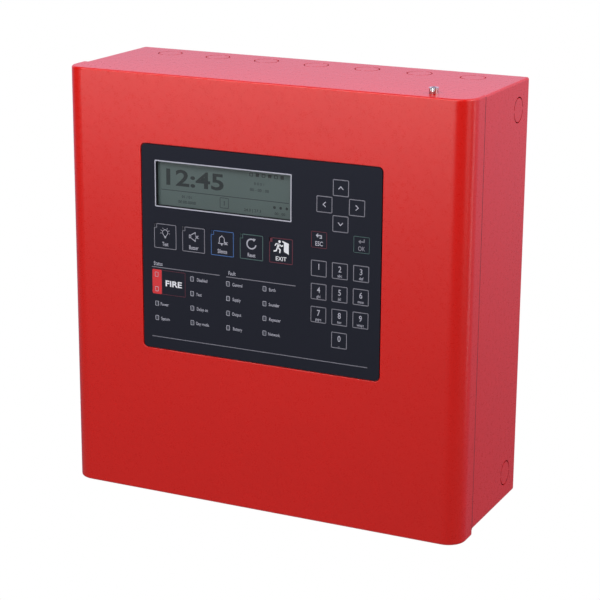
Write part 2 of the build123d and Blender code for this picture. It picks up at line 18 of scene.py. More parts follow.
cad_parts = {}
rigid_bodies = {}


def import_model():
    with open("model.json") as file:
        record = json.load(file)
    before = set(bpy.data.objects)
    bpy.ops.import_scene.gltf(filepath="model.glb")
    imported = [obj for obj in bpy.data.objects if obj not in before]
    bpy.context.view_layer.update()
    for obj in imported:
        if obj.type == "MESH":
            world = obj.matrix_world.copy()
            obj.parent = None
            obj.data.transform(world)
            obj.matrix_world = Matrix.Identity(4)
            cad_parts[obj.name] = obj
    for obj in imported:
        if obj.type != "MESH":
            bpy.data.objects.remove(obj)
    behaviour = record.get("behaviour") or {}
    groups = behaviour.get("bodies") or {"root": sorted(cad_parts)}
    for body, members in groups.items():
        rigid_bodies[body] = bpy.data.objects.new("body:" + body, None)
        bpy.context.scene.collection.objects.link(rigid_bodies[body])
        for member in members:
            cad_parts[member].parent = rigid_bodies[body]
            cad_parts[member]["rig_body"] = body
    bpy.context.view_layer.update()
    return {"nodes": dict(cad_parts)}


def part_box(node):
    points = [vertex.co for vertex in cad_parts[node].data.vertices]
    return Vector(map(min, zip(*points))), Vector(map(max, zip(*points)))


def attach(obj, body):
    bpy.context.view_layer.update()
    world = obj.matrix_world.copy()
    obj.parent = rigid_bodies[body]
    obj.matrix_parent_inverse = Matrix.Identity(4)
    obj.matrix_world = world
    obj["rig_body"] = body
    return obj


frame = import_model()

LOG = logging.getLogger("panel")
MM = 0.001          # metres in a millimetre
Point = tuple[float, float]
NodeTree = bpy.types.NodeTree
NodeSocket = bpy.types.NodeSocket
SceneObject = bpy.types.Object


# ---------------------------------------------------------------- colours and nodes
def linear(code: str) -> tuple[float, float, float, float]:
    """Turns an sRGB hex colour into linear RGBA.

    Args:
        code: six hex digits, with or without a leading hash.

    Returns:
        The colour with an alpha of 1.
    """
    digits = code.lstrip("#")
    parts = [int(digits[i:i + 2], 16) / 255 for i in (0, 2, 4)]
    r, g, b = [c / 12.92 if c <= 0.04045 else ((c + 0.055) / 1.055) ** 2.4 for c in parts]
    return (r, g, b, 1.0)


def add_node(
    tree: NodeTree, kind: str, inputs: dict | None = None, **settings: object
) -> bpy.types.Node:
    """Adds one node, sets it and links or fills its inputs.

    Args:
        tree: the node tree that gets the node.
        kind: the node's type name.
        inputs: socket name or number to a value, or to the output that feeds it.
        settings: properties of the node itself.

    Returns:
        The new node.
    """
    node = tree.nodes.new(kind)
    for name, value in settings.items():
        setattr(node, name, value)
    for socket, value in (inputs or {}).items():
        if isinstance(value, NodeSocket):
            tree.links.new(value, node.inputs[socket])
        else:
            node.inputs[socket].default_value = value
    return node


@dataclass(frozen=True)
class Finish:
    """A surface finish: its colour, gloss and the fine relief that its making leaves."""

    name: str
    colour: str
    roughness: float = 0.5
    metallic: float = 0.0
    ior: float | None = None
    grain_mm: float = 0.6       # width of the fine relief
    relief_mm: float = 0.01     # height of the fine relief
    mottle_mm: float = 40.0     # width of the slow colour drift
    mottle: float = 0.06        # strength of the slow colour drift
    stretch: tuple[float, float, float] = (1.0, 1.0, 1.0)
    alpha: float = 1.0

    def colour_socket(self, tree: NodeTree, place: NodeSocket) -> NodeSocket:
        """Slow drift between the colour and a slightly darker one.

        Args:
            tree: the material's nodes.
            place: the object coordinates.

        Returns:
            The colour output.
        """
        drift = add_node(
            tree, "ShaderNodeTexNoise", {"Vector": place, "Scale": 1000 / self.mottle_mm, "Detail": 3.0}
        )
        base = linear(self.colour)
        dark = tuple(c * (1 - self.mottle * 2) for c in base[:3]) + (1.0,)
        mix = add_node(tree, "ShaderNodeMix", {0: drift.outputs[0]}, data_type="RGBA")
        mix.inputs["A"].default_value = dark
        mix.inputs["B"].default_value = tuple(min(1.0, c * (1 + self.mottle)) for c in base[:3]) + (1.0,)
        return mix.outputs["Result"]

    def height_socket(self, tree: NodeTree, place: NodeSocket) -> NodeSocket:
        """Fine relief from 0 to 1.

        Args:
            tree: the material's nodes.
            place: the stretched object coordinates.

        Returns:
            The height output.
        """
        grain = add_node(
            tree, "ShaderNodeTexNoise", {"Vector": place, "Scale": 1000 / self.grain_mm, "Detail": 2.0}
        )
        return grain.outputs[0]

    def make(self) -> bpy.types.Material:
        """Builds the material once and keeps it.

        Returns:
            The material.
        """
        known = bpy.data.materials.get(self.name)
        if known:
            return known
        material = bpy.data.materials.new(self.name)
        material.use_nodes = True
        tree = material.node_tree
        shader = tree.nodes["Principled BSDF"]
        coords = add_node(tree, "ShaderNodeTexCoord").outputs["Object"]
        place = add_node(tree, "ShaderNodeMapping", {"Vector": coords, "Scale": self.stretch}).outputs[0]
        tree.links.new(self.colour_socket(tree, place), shader.inputs["Base Color"])
        height = self.height_socket(tree, place)
        rough = add_node(
            tree, "ShaderNodeMapRange",
            {"Value": height, "To Min": self.roughness * 0.85, "To Max": min(1.0, self.roughness * 1.18)},
        )
        tree.links.new(rough.outputs[0], shader.inputs["Roughness"])
        bump = add_node(
            tree, "ShaderNodeBump", {"Height": height, "Strength": 1.0, "Distance": self.relief_mm * MM}
        )
        tree.links.new(bump.outputs[0], shader.inputs["Normal"])
        shader.inputs["Metallic"].default_value = self.metallic
        shader.inputs["Alpha"].default_value = self.alpha
        if self.ior and not self.metallic:
            shader.inputs["IOR"].default_value = self.ior
        return material


@dataclass(frozen=True)
class PowderCoat(Finish):
    """Baked powder coat on steel: a pebbly skin with a soft orange-peel wave under it."""

    wave_mm: float = 4.5

    def height_socket(self, tree: NodeTree, place: NodeSocket) -> NodeSocket:
        """Pebbles from cells, with slower waves added.

        Args:
            tree: the material's nodes.
            place: the object coordinates.

        Returns:
            The height output.
        """
        pebbles = add_node(
            tree, "ShaderNodeTexVoronoi",
            {"Vector": place, "Scale": 1000 / self.grain_mm, "Smoothness": 0.8}, feature="SMOOTH_F1",
        )
        waves = add_node(
            tree, "ShaderNodeTexNoise", {"Vector": place, "Scale": 1000 / self.wave_mm, "Detail": 3.0}
        )
        total = add_node(
            tree, "ShaderNodeMath", {0: pebbles.outputs["Distance"], 1: waves.outputs[0]}, operation="ADD"
        )
        half = add_node(tree, "ShaderNodeMath", {0: total.outputs[0], 1: 0.5}, operation="MULTIPLY")
        return half.outputs[0]


@dataclass(frozen=True)
class SolderMask(Finish):
    """Circuit board under solder mask: copper tracks show through as paler raised lines."""

    ior: float | None = 1.5
    relief_mm: float = 0.03
    track: str = "#146238"
    track_mm: float = 7.0       # size of the cells that the tracks run between
    fold: float = 0.16          # share of a cell from one track to the next
    edge: Point = (0.09, 0.11)  # where a track's edge starts and ends within that

    def track_socket(self, tree: NodeTree, place: NodeSocket) -> NodeSocket:
        """Square-cornered network of tracks, 1 on copper.

        Args:
            tree: the material's nodes.
            place: the object coordinates.

        Returns:
            The mask output.
        """
        cells = add_node(
            tree, "ShaderNodeTexVoronoi",
            {"Vector": place, "Scale": 1000 / self.track_mm, "Randomness": 0.7},
            feature="F1", distance="CHEBYCHEV",
        )
        rings = add_node(
            tree, "ShaderNodeMath", {0: cells.outputs["Distance"], 1: self.fold}, operation="PINGPONG"
        )
        return add_node(
            tree, "ShaderNodeMapRange",
            {"Value": rings.outputs[0], "From Min": self.edge[0], "From Max": self.edge[1]},
        ).outputs[0]

    def colour_socket(self, tree: NodeTree, place: NodeSocket) -> NodeSocket:
        """Mask colour with paler tracks.

        Args:
            tree: the material's nodes.
            place: the object coordinates.

        Returns:
            The colour output.
        """
        mix = add_node(tree, "ShaderNodeMix", {0: self.track_socket(tree, place)}, data_type="RGBA")
        mix.inputs["A"].default_value = linear(self.colour)
        mix.inputs["B"].default_value = linear(self.track)
        return mix.outputs["Result"]

    def height_socket(self, tree: NodeTree, place: NodeSocket) -> NodeSocket:
        """The tracks stand proud of the board.

        Args:
            tree: the material's nodes.
            place: the object coordinates.

        Returns:
            The height output.
        """
        return self.track_socket(tree, place)


@dataclass(frozen=True)
class ScreenInk(Finish):
    """Screen-printed ink: matt and even, with the film's own fine tooth."""

    roughness: float = 0.55
    grain_mm: float = 0.3
    relief_mm: float = 0.003
    mottle: float = 0.02


class Stock(Enum):
    """Every finish on the panel, named for the real material."""

    # Polyester powder baked on steel: deep red, satin, with a pebbly skin that breaks up highlights.
    RED_POWDER = PowderCoat(
        "red_polyester_powder", "#D3130B", roughness=0.28, ior=1.5, grain_mm=0.9, relief_mm=0.005,
        mottle=0.02,
    )
    # Screen-printed polyester film: dark navy, velvet finish that hides fingerprints.
    NAVY_FILM = Finish(
        "navy_polyester_film", "#0E1222", roughness=0.62, ior=1.34, grain_mm=0.35, relief_mm=0.006,
        mottle=0.03,
    )
    # Screen inks lie flat and dull on the film, so that they read from any side.
    PALE_INK = ScreenInk("pale_lavender_ink", "#AEAEBC")
    GREY_INK = ScreenInk("grey_ink", "#7B7A86")
    WHITE_INK = ScreenInk("white_ink", "#E4E5EC", roughness=0.5)
    BLUE_INK = ScreenInk("blue_ink", "#3A639F")
    GREEN_INK = ScreenInk("grey_green_ink", "#43605F")
    MAROON_INK = ScreenInk("maroon_ink", "#5E1C30")
    RED_INK = ScreenInk("signal_red_ink", "#D2232B", roughness=0.5)
    # Hard-coated clear polyester: almost unseen, with a faint sheen.
    CLEAR_FILM = Finish(
        "clear_polyester_window", "#20262A", roughness=0.12, ior=1.45, alpha=0.1, grain_mm=3,
        relief_mm=0.001,
    )
    # Smoked lamp windows look dark until the lamp behind them lights.
    SMOKED = Finish("smoked_lamp_window", "#3A3D49", roughness=0.3, ior=1.5, grain_mm=0.4, relief_mm=0.004)
    # Reflective screen cell, unlit: an even grey-green under glass.
    SCREEN = Finish(
        "grey_green_screen_cell", "#5C6C6B", roughness=0.3, ior=1.5, relief_mm=0.002, mottle=0.04
    )
    # Switched dots of the cell: dark and soft-edged.
    SCREEN_DOT = Finish(
        "screen_dark_dots", "#222C2E", roughness=0.4, grain_mm=0.5, relief_mm=0.002, mottle=0.02
    )
    # Closed-cell foam drinks light. The same black also fills the door's seam as a strip of painted shade
    # standing for the seam's shadow.
    FOAM = Finish("black_foam_and_seam_shade", "#0B0B0D", roughness=0.95, grain_mm=0.5, relief_mm=0.06, mottle=0.1)
    # Blackened steel keeps a dull half-gloss.
    BLACK_STEEL = Finish("black_oxide_steel", "#16171A", roughness=0.45, grain_mm=0.5, relief_mm=0.006)
    # Bright zinc plate on pressed steel: silvery with a cloudy bloom.
    ZINC = Finish(
        "bright_zinc_plate", "#B9BCC0", roughness=0.34, metallic=1.0, grain_mm=0.8, relief_mm=0.006,
        mottle_mm=9, mottle=0.1,
    )
    # Polished plate mirrors the lights sharply.
    CHROME = Finish(
        "polished_chrome", "#DADCE0", roughness=0.09, metallic=1.0, grain_mm=2, relief_mm=0.002, mottle=0.02
    )
    # Rolled aluminium keeps fine lines along the rolling direction.
    ALUMINIUM = Finish(
        "rolled_aluminium", "#C9CBCE", roughness=0.38, metallic=1.0, grain_mm=2.5, relief_mm=0.008,
        stretch=(1.0, 1.0, 14.0), mottle_mm=30, mottle=0.05,
    )
    # Turned brass: warm yellow with a fresh-cut shine.
    BRASS = Finish("turned_brass", "#C9A253", roughness=0.28, metallic=1.0, grain_mm=0.6, relief_mm=0.004)
    # Tin over copper: pale grey, brighter than zinc.
    TIN = Finish("tinned_copper", "#C4C4C2", roughness=0.3, metallic=1.0, grain_mm=0.5, relief_mm=0.006)
    # Thin gold over nickel on contact posts: pale yellow and smooth.
    GOLD = Finish("gold_flash", "#D6B25E", roughness=0.25, metallic=1.0, grain_mm=0.5, relief_mm=0.003)
    # Liquid solder mask cured over copper tracks: glossy green.
    GREEN_BOARD = SolderMask("green_solder_mask", "#0B4A2A", roughness=0.3)
    # Bare phenolic paper board: dull brown, its tracks a shade paler.
    BROWN_BOARD = SolderMask("brown_phenolic_board", "#6B4A24", roughness=0.5, track="#80592B")
    # Legend ink on boards: off-white and chalky.
    SILK = Finish("white_legend_ink", "#E8E8E0", roughness=0.6, grain_mm=0.3, relief_mm=0.004, mottle=0.03)
    # Moulding compound for parts: matt black with a spark-eroded tooth.
    EPOXY_BLACK = Finish("black_moulding_compound", "#17181A", roughness=0.55, grain_mm=0.35)
    # Moulded nylon: black, a little glossier than the compound.
    BLACK_NYLON = Finish("black_nylon_surface", "#101113", roughness=0.5, grain_mm=0.5)
    # Moulded polyamide terminal blocks: clear green, satin.
    TERMINAL_GREEN = Finish(
        "green_polyamide", "#1F7A3E", roughness=0.42, ior=1.5, grain_mm=0.5, relief_mm=0.008, mottle=0.04
    )
    # Polished mould makes the relay cases the glossiest plastic here.
    RELAY_BLUE = Finish(
        "blue_relay_case", "#1E4E8C", roughness=0.35, ior=1.5, grain_mm=0.8, relief_mm=0.006
    )
    # Shrunk vinyl sleeve: dark blue, tight and shiny.
    SLEEVE = Finish(
        "capacitor_sleeve_surface", "#1A1F33", roughness=0.25, ior=1.5, grain_mm=1.0, relief_mm=0.004
    )
    # Natural polyamide: warm white, satin.
    WHITE_NYLON = Finish(
        "white_polyamide_surface", "#DCDBD3", roughness=0.45, ior=1.5, grain_mm=0.6, relief_mm=0.008
    )
    # Fired ceramic tube: cream with a low glaze.
    CERAMIC = Finish("fuse_ceramic", "#D9D3C4", roughness=0.35, grain_mm=0.4, relief_mm=0.004)
    # Ceramic chip bodies: bare, tan.
    CERAMIC_TAN = Finish("tan_ceramic_chip", "#A88A5E", roughness=0.45, grain_mm=0.4, relief_mm=0.004)
    # Moulded battery case: charcoal ABS with a fine leather tooth.
    BATTERY_ABS = Finish(
        "charcoal_abs", "#2C2E32", roughness=0.5, ior=1.5, grain_mm=0.9, relief_mm=0.03, mottle=0.04
    )
    # Uncoated label stock: flat pale grey.
    LABEL_PAPER = Finish(
        "matt_label_paper", "#D7D9D6", roughness=0.7, grain_mm=0.5, relief_mm=0.006, mottle=0.03
    )
    # Red plastic collar: dull signal red.
    LABEL_RED = Finish("label_red", "#B3282B", roughness=0.6, grain_mm=0.5, relief_mm=0.004)
    # Cast clear epoxy of an unlit lamp: pale and glassy.
    LENS_CLEAR = Finish(
        "clear_lamp_epoxy", "#C8CDD2", roughness=0.15, ior=1.5, grain_mm=0.8, relief_mm=0.002
    )

    @property
    def material(self) -> bpy.types.Material:
        """The Blender material of this finish."""
        return self.value.make()


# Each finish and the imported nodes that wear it; the keys aren't listed and wear the fascia's film.
WEARERS: dict[Stock, tuple[str, ...]] = {
    Stock.RED_POWDER: (
        "back_box", "knockout_discs", "door_shell", "hinge_box_leaves", "hinge_door_leaves",
    ),
    Stock.ZINC: (
        "hinge_pins", "latch_keeper", "latch_cam", "display_fixings", "board_screws", "psu_cover",
        "battery_strap",
    ),
    Stock.CHROME: ("latch_spindle",),
    Stock.BLACK_NYLON: ("latch_bush",),
    Stock.NAVY_FILM: ("fascia_overlay",),
    Stock.CLEAR_FILM: ("display_window",),
    Stock.SMOKED: ("led_windows",),
    Stock.BLACK_STEEL: ("lcd_bezel",),
    Stock.SCREEN: ("lcd_glass",),
    Stock.GREEN_BOARD: ("lcd_board", "display_board", "main_board", "loop_card"),
    Stock.EPOXY_BLACK: ("tactile_switches", "buzzer", "chips"),
    Stock.LENS_CLEAR: ("status_leds",),
    Stock.BRASS: ("board_standoffs", "earth_studs"),
    Stock.TERMINAL_GREEN: ("field_terminals",),
    Stock.RELAY_BLUE: ("relays",),
    Stock.SLEEVE: ("capacitors",),
    Stock.TIN: ("board_fuses", "battery_terminals"),
    Stock.ALUMINIUM: ("psu_chassis",),
    Stock.BROWN_BOARD: ("psu_board",),
    Stock.WHITE_NYLON: ("mains_terminal_block",),
    Stock.BATTERY_ABS: ("battery_left", "battery_right"),
}


def dress_nodes() -> None:
    """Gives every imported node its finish."""
    finish_of = {node: finish for finish, nodes in WEARERS.items() for node in nodes}
    for name, item in frame["nodes"].items():
        finish = finish_of.get(name, Stock.NAVY_FILM)
        item.data.materials.clear()
        item.data.materials.append(finish.material)
        LOG.info("dressed %s in %s", name, finish.value.name)


# ---------------------------------------------------------------- mesh helpers
@dataclass(frozen=True)
class Span:
    """A node's box in millimetres."""

    low: Vector
    high: Vector

    @classmethod
    def of(cls, node: str) -> "Span":
        """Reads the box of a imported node."""
        low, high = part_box(node)
        return cls(Vector(low) / MM, Vector(high) / MM)

    @property
    def centre(self) -> Vector:
        """Middle of the box."""
        return (self.low + self.high) / 2

    @property
    def size(self) -> Vector:
        """Width, depth and height."""
        return self.high - self.low


def body_of(node: str) -> str:
    """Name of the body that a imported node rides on."""
    return frame["nodes"][node]["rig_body"]


class Form:
    """A mesh under construction, in millimetres."""

    def __init__(self) -> None:
        """Starts empty."""
        self.mesh = bmesh.new()

    def prism(self, outline: Sequence[Point], y: Point) -> None:
        """Adds an upright prism.

        Args:
            outline: its corners in X and Z.
            y: the two faces' places.
        """
        near = [self.mesh.verts.new((px, y[0], pz)) for px, pz in outline]
        far = [self.mesh.verts.new((px, y[1], pz)) for px, pz in outline]
        count = len(outline)
        self.mesh.faces.new(near)
        self.mesh.faces.new(far[::-1])
        for i in range(count):
            j = (i + 1) % count
            self.mesh.faces.new((near[i], far[i], far[j], near[j]))

    def ring(self, outer: Sequence[Point], inner: Sequence[Point], y: Point) -> None:
        """Adds a plate with a hole; both outlines have the same number of corners.

        Args:
            outer: outside corners in X and Z.
            inner: the hole's corners.
            y: the two faces' places.
        """
        rows = [
            [self.mesh.verts.new((px, depth, pz)) for px, pz in loop]
            for depth in y for loop in (outer, inner)
        ]
        near_out, near_in, far_out, far_in = rows
        count = len(outer)
        for i in range(count):
            j = (i + 1) % count
            self.mesh.faces.new((near_out[i], near_out[j], near_in[j], near_in[i]))
            self.mesh.faces.new((far_out[j], far_out[i], far_in[i], far_in[j]))
            self.mesh.faces.new((near_out[j], near_out[i], far_out[i], far_out[j]))
            self.mesh.faces.new((near_in[i], near_in[j], far_in[j], far_in[i]))

    def block(self, low: Sequence[float], high: Sequence[float], bevel: float = 0.0) -> None:
        """Adds a box with optional rounded edges.

        Args:
            low: lowest corner.
            high: highest corner.
            bevel: width of the edge rounding.
        """
        size = Vector(high) - Vector(low)
        place = Matrix.Translation((Vector(low) + Vector(high)) / 2) @ Matrix.Diagonal((*size, 1))
        made = bmesh.ops.create_cube(self.mesh, size=1, matrix=place)["verts"]
        if bevel:
            edges = list({edge for vert in made for edge in vert.link_edges})
            bmesh.ops.bevel(self.mesh, geom=edges, offset=bevel, segments=2, affect="EDGES", profile=0.6)

    def lathe(self, profile: Sequence[Point], centre: Point, steps: int = 24) -> None:
        """Adds a turned form about a line along Y; the profile starts and ends on the axis.

        Args:
            profile: pairs of radius and Y.
            centre: X and Z of the axis.
            steps: facets round the axis.
        """
        rows = []
        for radius, depth in profile:
            if radius < 1e-6:
                rows.append([self.mesh.verts.new((centre[0], depth, centre[1]))])
                continue
            rows.append([
                self.mesh.verts.new((
                    centre[0] + radius * math.cos(2 * math.pi * i / steps), depth,
                    centre[1] + radius * math.sin(2 * math.pi * i / steps),
                ))
                for i in range(steps)
            ])
        for first, second in zip(rows, rows[1:]):
            for i in range(steps):
                j = (i + 1) % steps
                round_face = ((first, i), (first, j), (second, j), (second, i))
                corners = [row[k % len(row)] for row, k in round_face]
                unique = list(dict.fromkeys(corners))
                if len(unique) > 2:
                    self.mesh.faces.new(unique)

    def take(self, source: bpy.types.Mesh, matrix: Matrix) -> None:
        """Adds a copy of a mesh.

        Args:
            source: the mesh to copy.
            matrix: where it goes.
        """
        copy = source.copy()
        copy.transform(matrix)
        self.mesh.from_mesh(copy)
        bpy.data.meshes.remove(copy)

    def piece(self, name: str, finish: Stock, body: str, slot: str, smooth: bool = False) -> SceneObject:
        """Finishes the mesh as a piece of the panel.

        Args:
            name: the piece's name.
            finish: what it is made of.
            body: the body that it rides on.
            slot: not used.
            smooth: whether its faces are shaded as curved.

        Returns:
            The new object.
        """
        bmesh.ops.remove_doubles(self.mesh, verts=self.mesh.verts, dist=1e-4)
        bmesh.ops.recalc_face_normals(self.mesh, faces=self.mesh.faces)
        bmesh.ops.scale(self.mesh, vec=(MM, MM, MM), verts=self.mesh.verts)
        data = bpy.data.meshes.new(name)
        self.mesh.to_mesh(data)
        self.mesh.free()
        item = bpy.data.objects.new(name, data)
        bpy.context.scene.collection.objects.link(item)
        data.materials.append(finish.material)
        if smooth:
            data.shade_smooth()
            data.set_sharp_from_angle(angle=math.radians(35))
        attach(item, body)
        LOG.info("made %s on %s", name, body)
        return item


def circle_points(
    centre: Point, radius: float, steps: int = 28, start: float = 0.0, turn: float = 360.0
) -> list[Point]:
    """Points on a circle or an arc.

    Args:
        centre: its middle.
        radius: its radius.
        steps: how many points.
        start: first angle in degrees.
        turn: how far it goes round.

    Returns:
        The points; a full turn doesn't repeat the first.
    """
    last = steps if abs(turn) >= 360 else steps - 1
    angles = [math.radians(start + turn * i / last) for i in range(steps)]
    return [(centre[0] + radius * math.cos(a), centre[1] + radius * math.sin(a)) for a in angles]


def spaced(first: float, step: float, count: int) -> list[float]:
    """Evenly spaced places along a line."""
    return [first + i * step for i in range(count)]


def rounded_box(centre: Point, width: float, height: float, radius: float) -> list[Point]:
    """Outline of a rectangle with rounded corners.

    Args:
        centre: its middle.
        width: its full width.
        height: its full height.
        radius: corner radius, above 0.

    Returns:
        Its corners, anticlockwise.
    """
    points = []
    reach_x, reach_z = width / 2 - radius, height / 2 - radius
    for i, (side, lift) in enumerate(((1, 1), (-1, 1), (-1, -1), (1, -1))):
        corner = (centre[0] + side * reach_x, centre[1] + lift * reach_z)
        points += circle_points(corner, radius, 5, 90 * i, 90)
    return points


# ---------------------------------------------------------------- printing
class Ink(Form):
    """Flat marks printed on an upright face, as thin closed shapes."""

    SINK, RISE = 0.02, 0.03     # into and out of the face
    CAPITAL = 0.72              # a capital's height as a share of the letters' set size

    def __init__(self, face_y: float, origin: Point = (0.0, 0.0), scale: float = 1.0) -> None:
        """Starts a print.

        Args:
            face_y: Y of the face.
            origin: X and Z that the marks are drawn from.
            scale: size factor on every mark.
        """
        super().__init__()
        self.y = (face_y - self.RISE, face_y + self.SINK)
        self.origin = origin
        self.scale = scale

    def place(self, point: Point) -> Point:
        """Moves a drawn point to its place on the face."""
        return (self.origin[0] + point[0] * self.scale, self.origin[1] + point[1] * self.scale)

    def fill(self, outline: Iterable[Point]) -> None:
        """Prints a filled outline."""
        self.prism([self.place(point) for point in outline], self.y)

    def band(self, outer: Iterable[Point], inner: Iterable[Point]) -> None:
        """Prints the area between two outlines."""
        self.ring([self.place(point) for point in outer], [self.place(point) for point in inner], self.y)

    def bar(self, centre: Point, width: float, height: float) -> None:
        """Prints a filled rectangle.

        Args:
            centre: its middle.
            width: its full width.
            height: its full height.
        """
        x, z = centre
        corners = ((-1, -1), (1, -1), (1, 1), (-1, 1))
        self.fill([(x + i * width / 2, z + k * height / 2) for i, k in corners])

    def outline(self, centre: Point, width: float, height: float, line: float, radius: float = 0.9) -> None:
        """Prints a rounded frame; width and height are its outside sizes.

        Args:
            centre: its middle.
            width: its outside width.
            height: its outside height.
            line: width of its line.
            radius: outside radius of its corners.
        """
        outer = rounded_box(centre, width, height, radius)
        inner = rounded_box(centre, width - 2 * line, height - 2 * line, max(radius - line, 0.12))
        self.band(outer, inner)

    def circle(self, centre: Point, radius: float, line: float) -> None:
        """Prints a ring of a given line width about its middle radius."""
        self.band(circle_points(centre, radius + line / 2), circle_points(centre, radius - line / 2))

    def stroke(self, points: Sequence[Point], line: float) -> None:
        """Prints an open line with mitred corners.

        Args:
            points: its corners.
            line: its width.
        """
        path = [Vector(point) for point in points]
        left, right = [], []
        for i, here in enumerate(path):
            before = (here - path[i - 1]).normalized() if i else (path[1] - here).normalized()
            after = (path[i + 1] - here).normalized() if i < len(path) - 1 else before
            along = (before + after).normalized()
            normal = Vector((-along.y, along.x))
            spread = line / 2 / max(0.35, normal.dot(Vector((-after.y, after.x))))
            left.append(tuple(here + normal * spread))
            right.append(tuple(here - normal * spread))
        self.fill(right + left[::-1])

    def words(
        self, text: str, centre: Point, height: float, bold: float = 0.0, squeeze: float = 1.0
    ) -> None:
        """Prints a word or number.

        Args:
            text: what it says.
            centre: the middle of the word.
            height: height of a capital.
            bold: extra line width as a share of the height.
            squeeze: width factor.
        """
        curve = bpy.data.curves.new("words", "FONT")
        curve.body = text
        curve.size = height / self.CAPITAL
        curve.offset = bold * height
        curve.resolution_u = 3
        curve.extrude = (self.y[1] - self.y[0]) / 2 / self.scale
        curve.align_x = "CENTER"
        item = bpy.data.objects.new("words", curve)
        bpy.context.scene.collection.objects.link(item)
        bpy.context.view_layer.update()
        mesh = bpy.data.meshes.new_from_object(item.evaluated_get(bpy.context.evaluated_depsgraph_get()))
        x, z = self.place((centre[0], centre[1] - height / 2))
        spot = Matrix.Translation((x, sum(self.y) / 2, z))
        turn = Euler((math.pi / 2, 0, 0)).to_matrix().to_4x4()
        self.take(mesh, spot @ turn @ Matrix.Diagonal((self.scale * squeeze, self.scale, self.scale, 1)))
        bpy.data.objects.remove(item)
        bpy.data.curves.remove(curve)
        bpy.data.meshes.remove(mesh)


# ---------------------------------------------------------------- repeats
class Repeat:
    """Geometry Nodes tree that sets one pattern piece on many points, turned about Y by chance."""

    _tree: NodeTree | None = None

    @classmethod
    def tree(cls) -> NodeTree:
        """Builds the tree once.

        Returns:
            The node group.
        """
        if cls._tree:
            return cls._tree
        group = bpy.data.node_groups.new("set_on_points", "GeometryNodeTree")
        for name, kind in (
            ("Points", "NodeSocketGeometry"), ("Pattern", "NodeSocketObject"),
            ("Finish", "NodeSocketMaterial"), ("Turn", "NodeSocketFloat"), ("Seed", "NodeSocketInt"),
        ):
            group.interface.new_socket(name=name, in_out="INPUT", socket_type=kind)
        group.interface.new_socket(name="Result", in_out="OUTPUT", socket_type="NodeSocketGeometry")
        entry = add_node(group, "NodeGroupInput")
        pattern = add_node(group, "GeometryNodeObjectInfo", {"Object": entry.outputs["Pattern"]})
        least = add_node(group, "ShaderNodeMath", {0: entry.outputs["Turn"], 1: -1.0}, operation="MULTIPLY")
        chance = add_node(
            group, "FunctionNodeRandomValue",
            {"Min": least.outputs[0], "Max": entry.outputs["Turn"], "Seed": entry.outputs["Seed"]},
            data_type="FLOAT",
        )
        angle = next(output for output in chance.outputs if output.type == "VALUE" and output.enabled)
        turn = add_node(group, "ShaderNodeCombineXYZ", {"Y": angle})
        spread = add_node(
            group, "GeometryNodeInstanceOnPoints",
            {
                "Points": entry.outputs["Points"], "Instance": pattern.outputs["Geometry"],
                "Rotation": turn.outputs[0],
            },
        )
        real = add_node(group, "GeometryNodeRealizeInstances", {"Geometry": spread.outputs[0]})
        painted = add_node(
            group, "GeometryNodeSetMaterial",
            {"Geometry": real.outputs[0], "Material": entry.outputs["Finish"]},
        )
        add_node(group, "NodeGroupOutput", {"Result": painted.outputs[0]})
        cls._tree = group
        return group

    @classmethod
    def lay(
        cls, name: str, pattern: Form, points: Sequence[Sequence[float]], finish: Stock, body: str,
        slot: str, turn: float = 0.0, seed: int = 1,
    ) -> SceneObject:
        """Sets a pattern on points and keeps the result as one plain piece.

        Args:
            name: the piece's name.
            pattern: the form that repeats, drawn about the origin.
            points: where it goes, in millimetres.
            finish: what it is made of.
            body: the body that it rides on.
            slot: not used.
            turn: most that each copy turns about Y, in radians.
            seed: seed of the turns.

        Returns:
            The new object.
        """
        bmesh.ops.recalc_face_normals(pattern.mesh, faces=pattern.mesh.faces)
        bmesh.ops.scale(pattern.mesh, vec=(MM, MM, MM), verts=pattern.mesh.verts)
        model = bpy.data.meshes.new("pattern")
        pattern.mesh.to_mesh(model)
        pattern.mesh.free()
        proto = bpy.data.objects.new("pattern", model)
        cloud = bpy.data.meshes.new("cloud")
        cloud.from_pydata([tuple(Vector(point) * MM) for point in points], [], [])
        carrier = bpy.data.objects.new("carrier", cloud)
        for item in (proto, carrier):
            bpy.context.scene.collection.objects.link(item)
        modifier = carrier.modifiers.new("repeat", "NODES")
        modifier.node_group = cls.tree()
        values = {"Pattern": proto, "Finish": finish.material, "Turn": turn, "Seed": seed}
        for socket in cls.tree().interface.items_tree:
            if socket.in_out == "INPUT" and socket.name in values:
                modifier[socket.identifier] = values[socket.name]
        bpy.context.view_layer.update()
        data = bpy.data.meshes.new_from_object(carrier.evaluated_get(bpy.context.evaluated_depsgraph_get()))
        carrier.modifiers.remove(modifier)
        for item in (carrier, proto):
            bpy.data.objects.remove(item)
        data.name = name
        piece = bpy.data.objects.new(name, data)
        bpy.context.scene.collection.objects.link(piece)
        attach(piece, body)
        LOG.info("laid %s: %d on %s", name, len(points), body)
        return piece


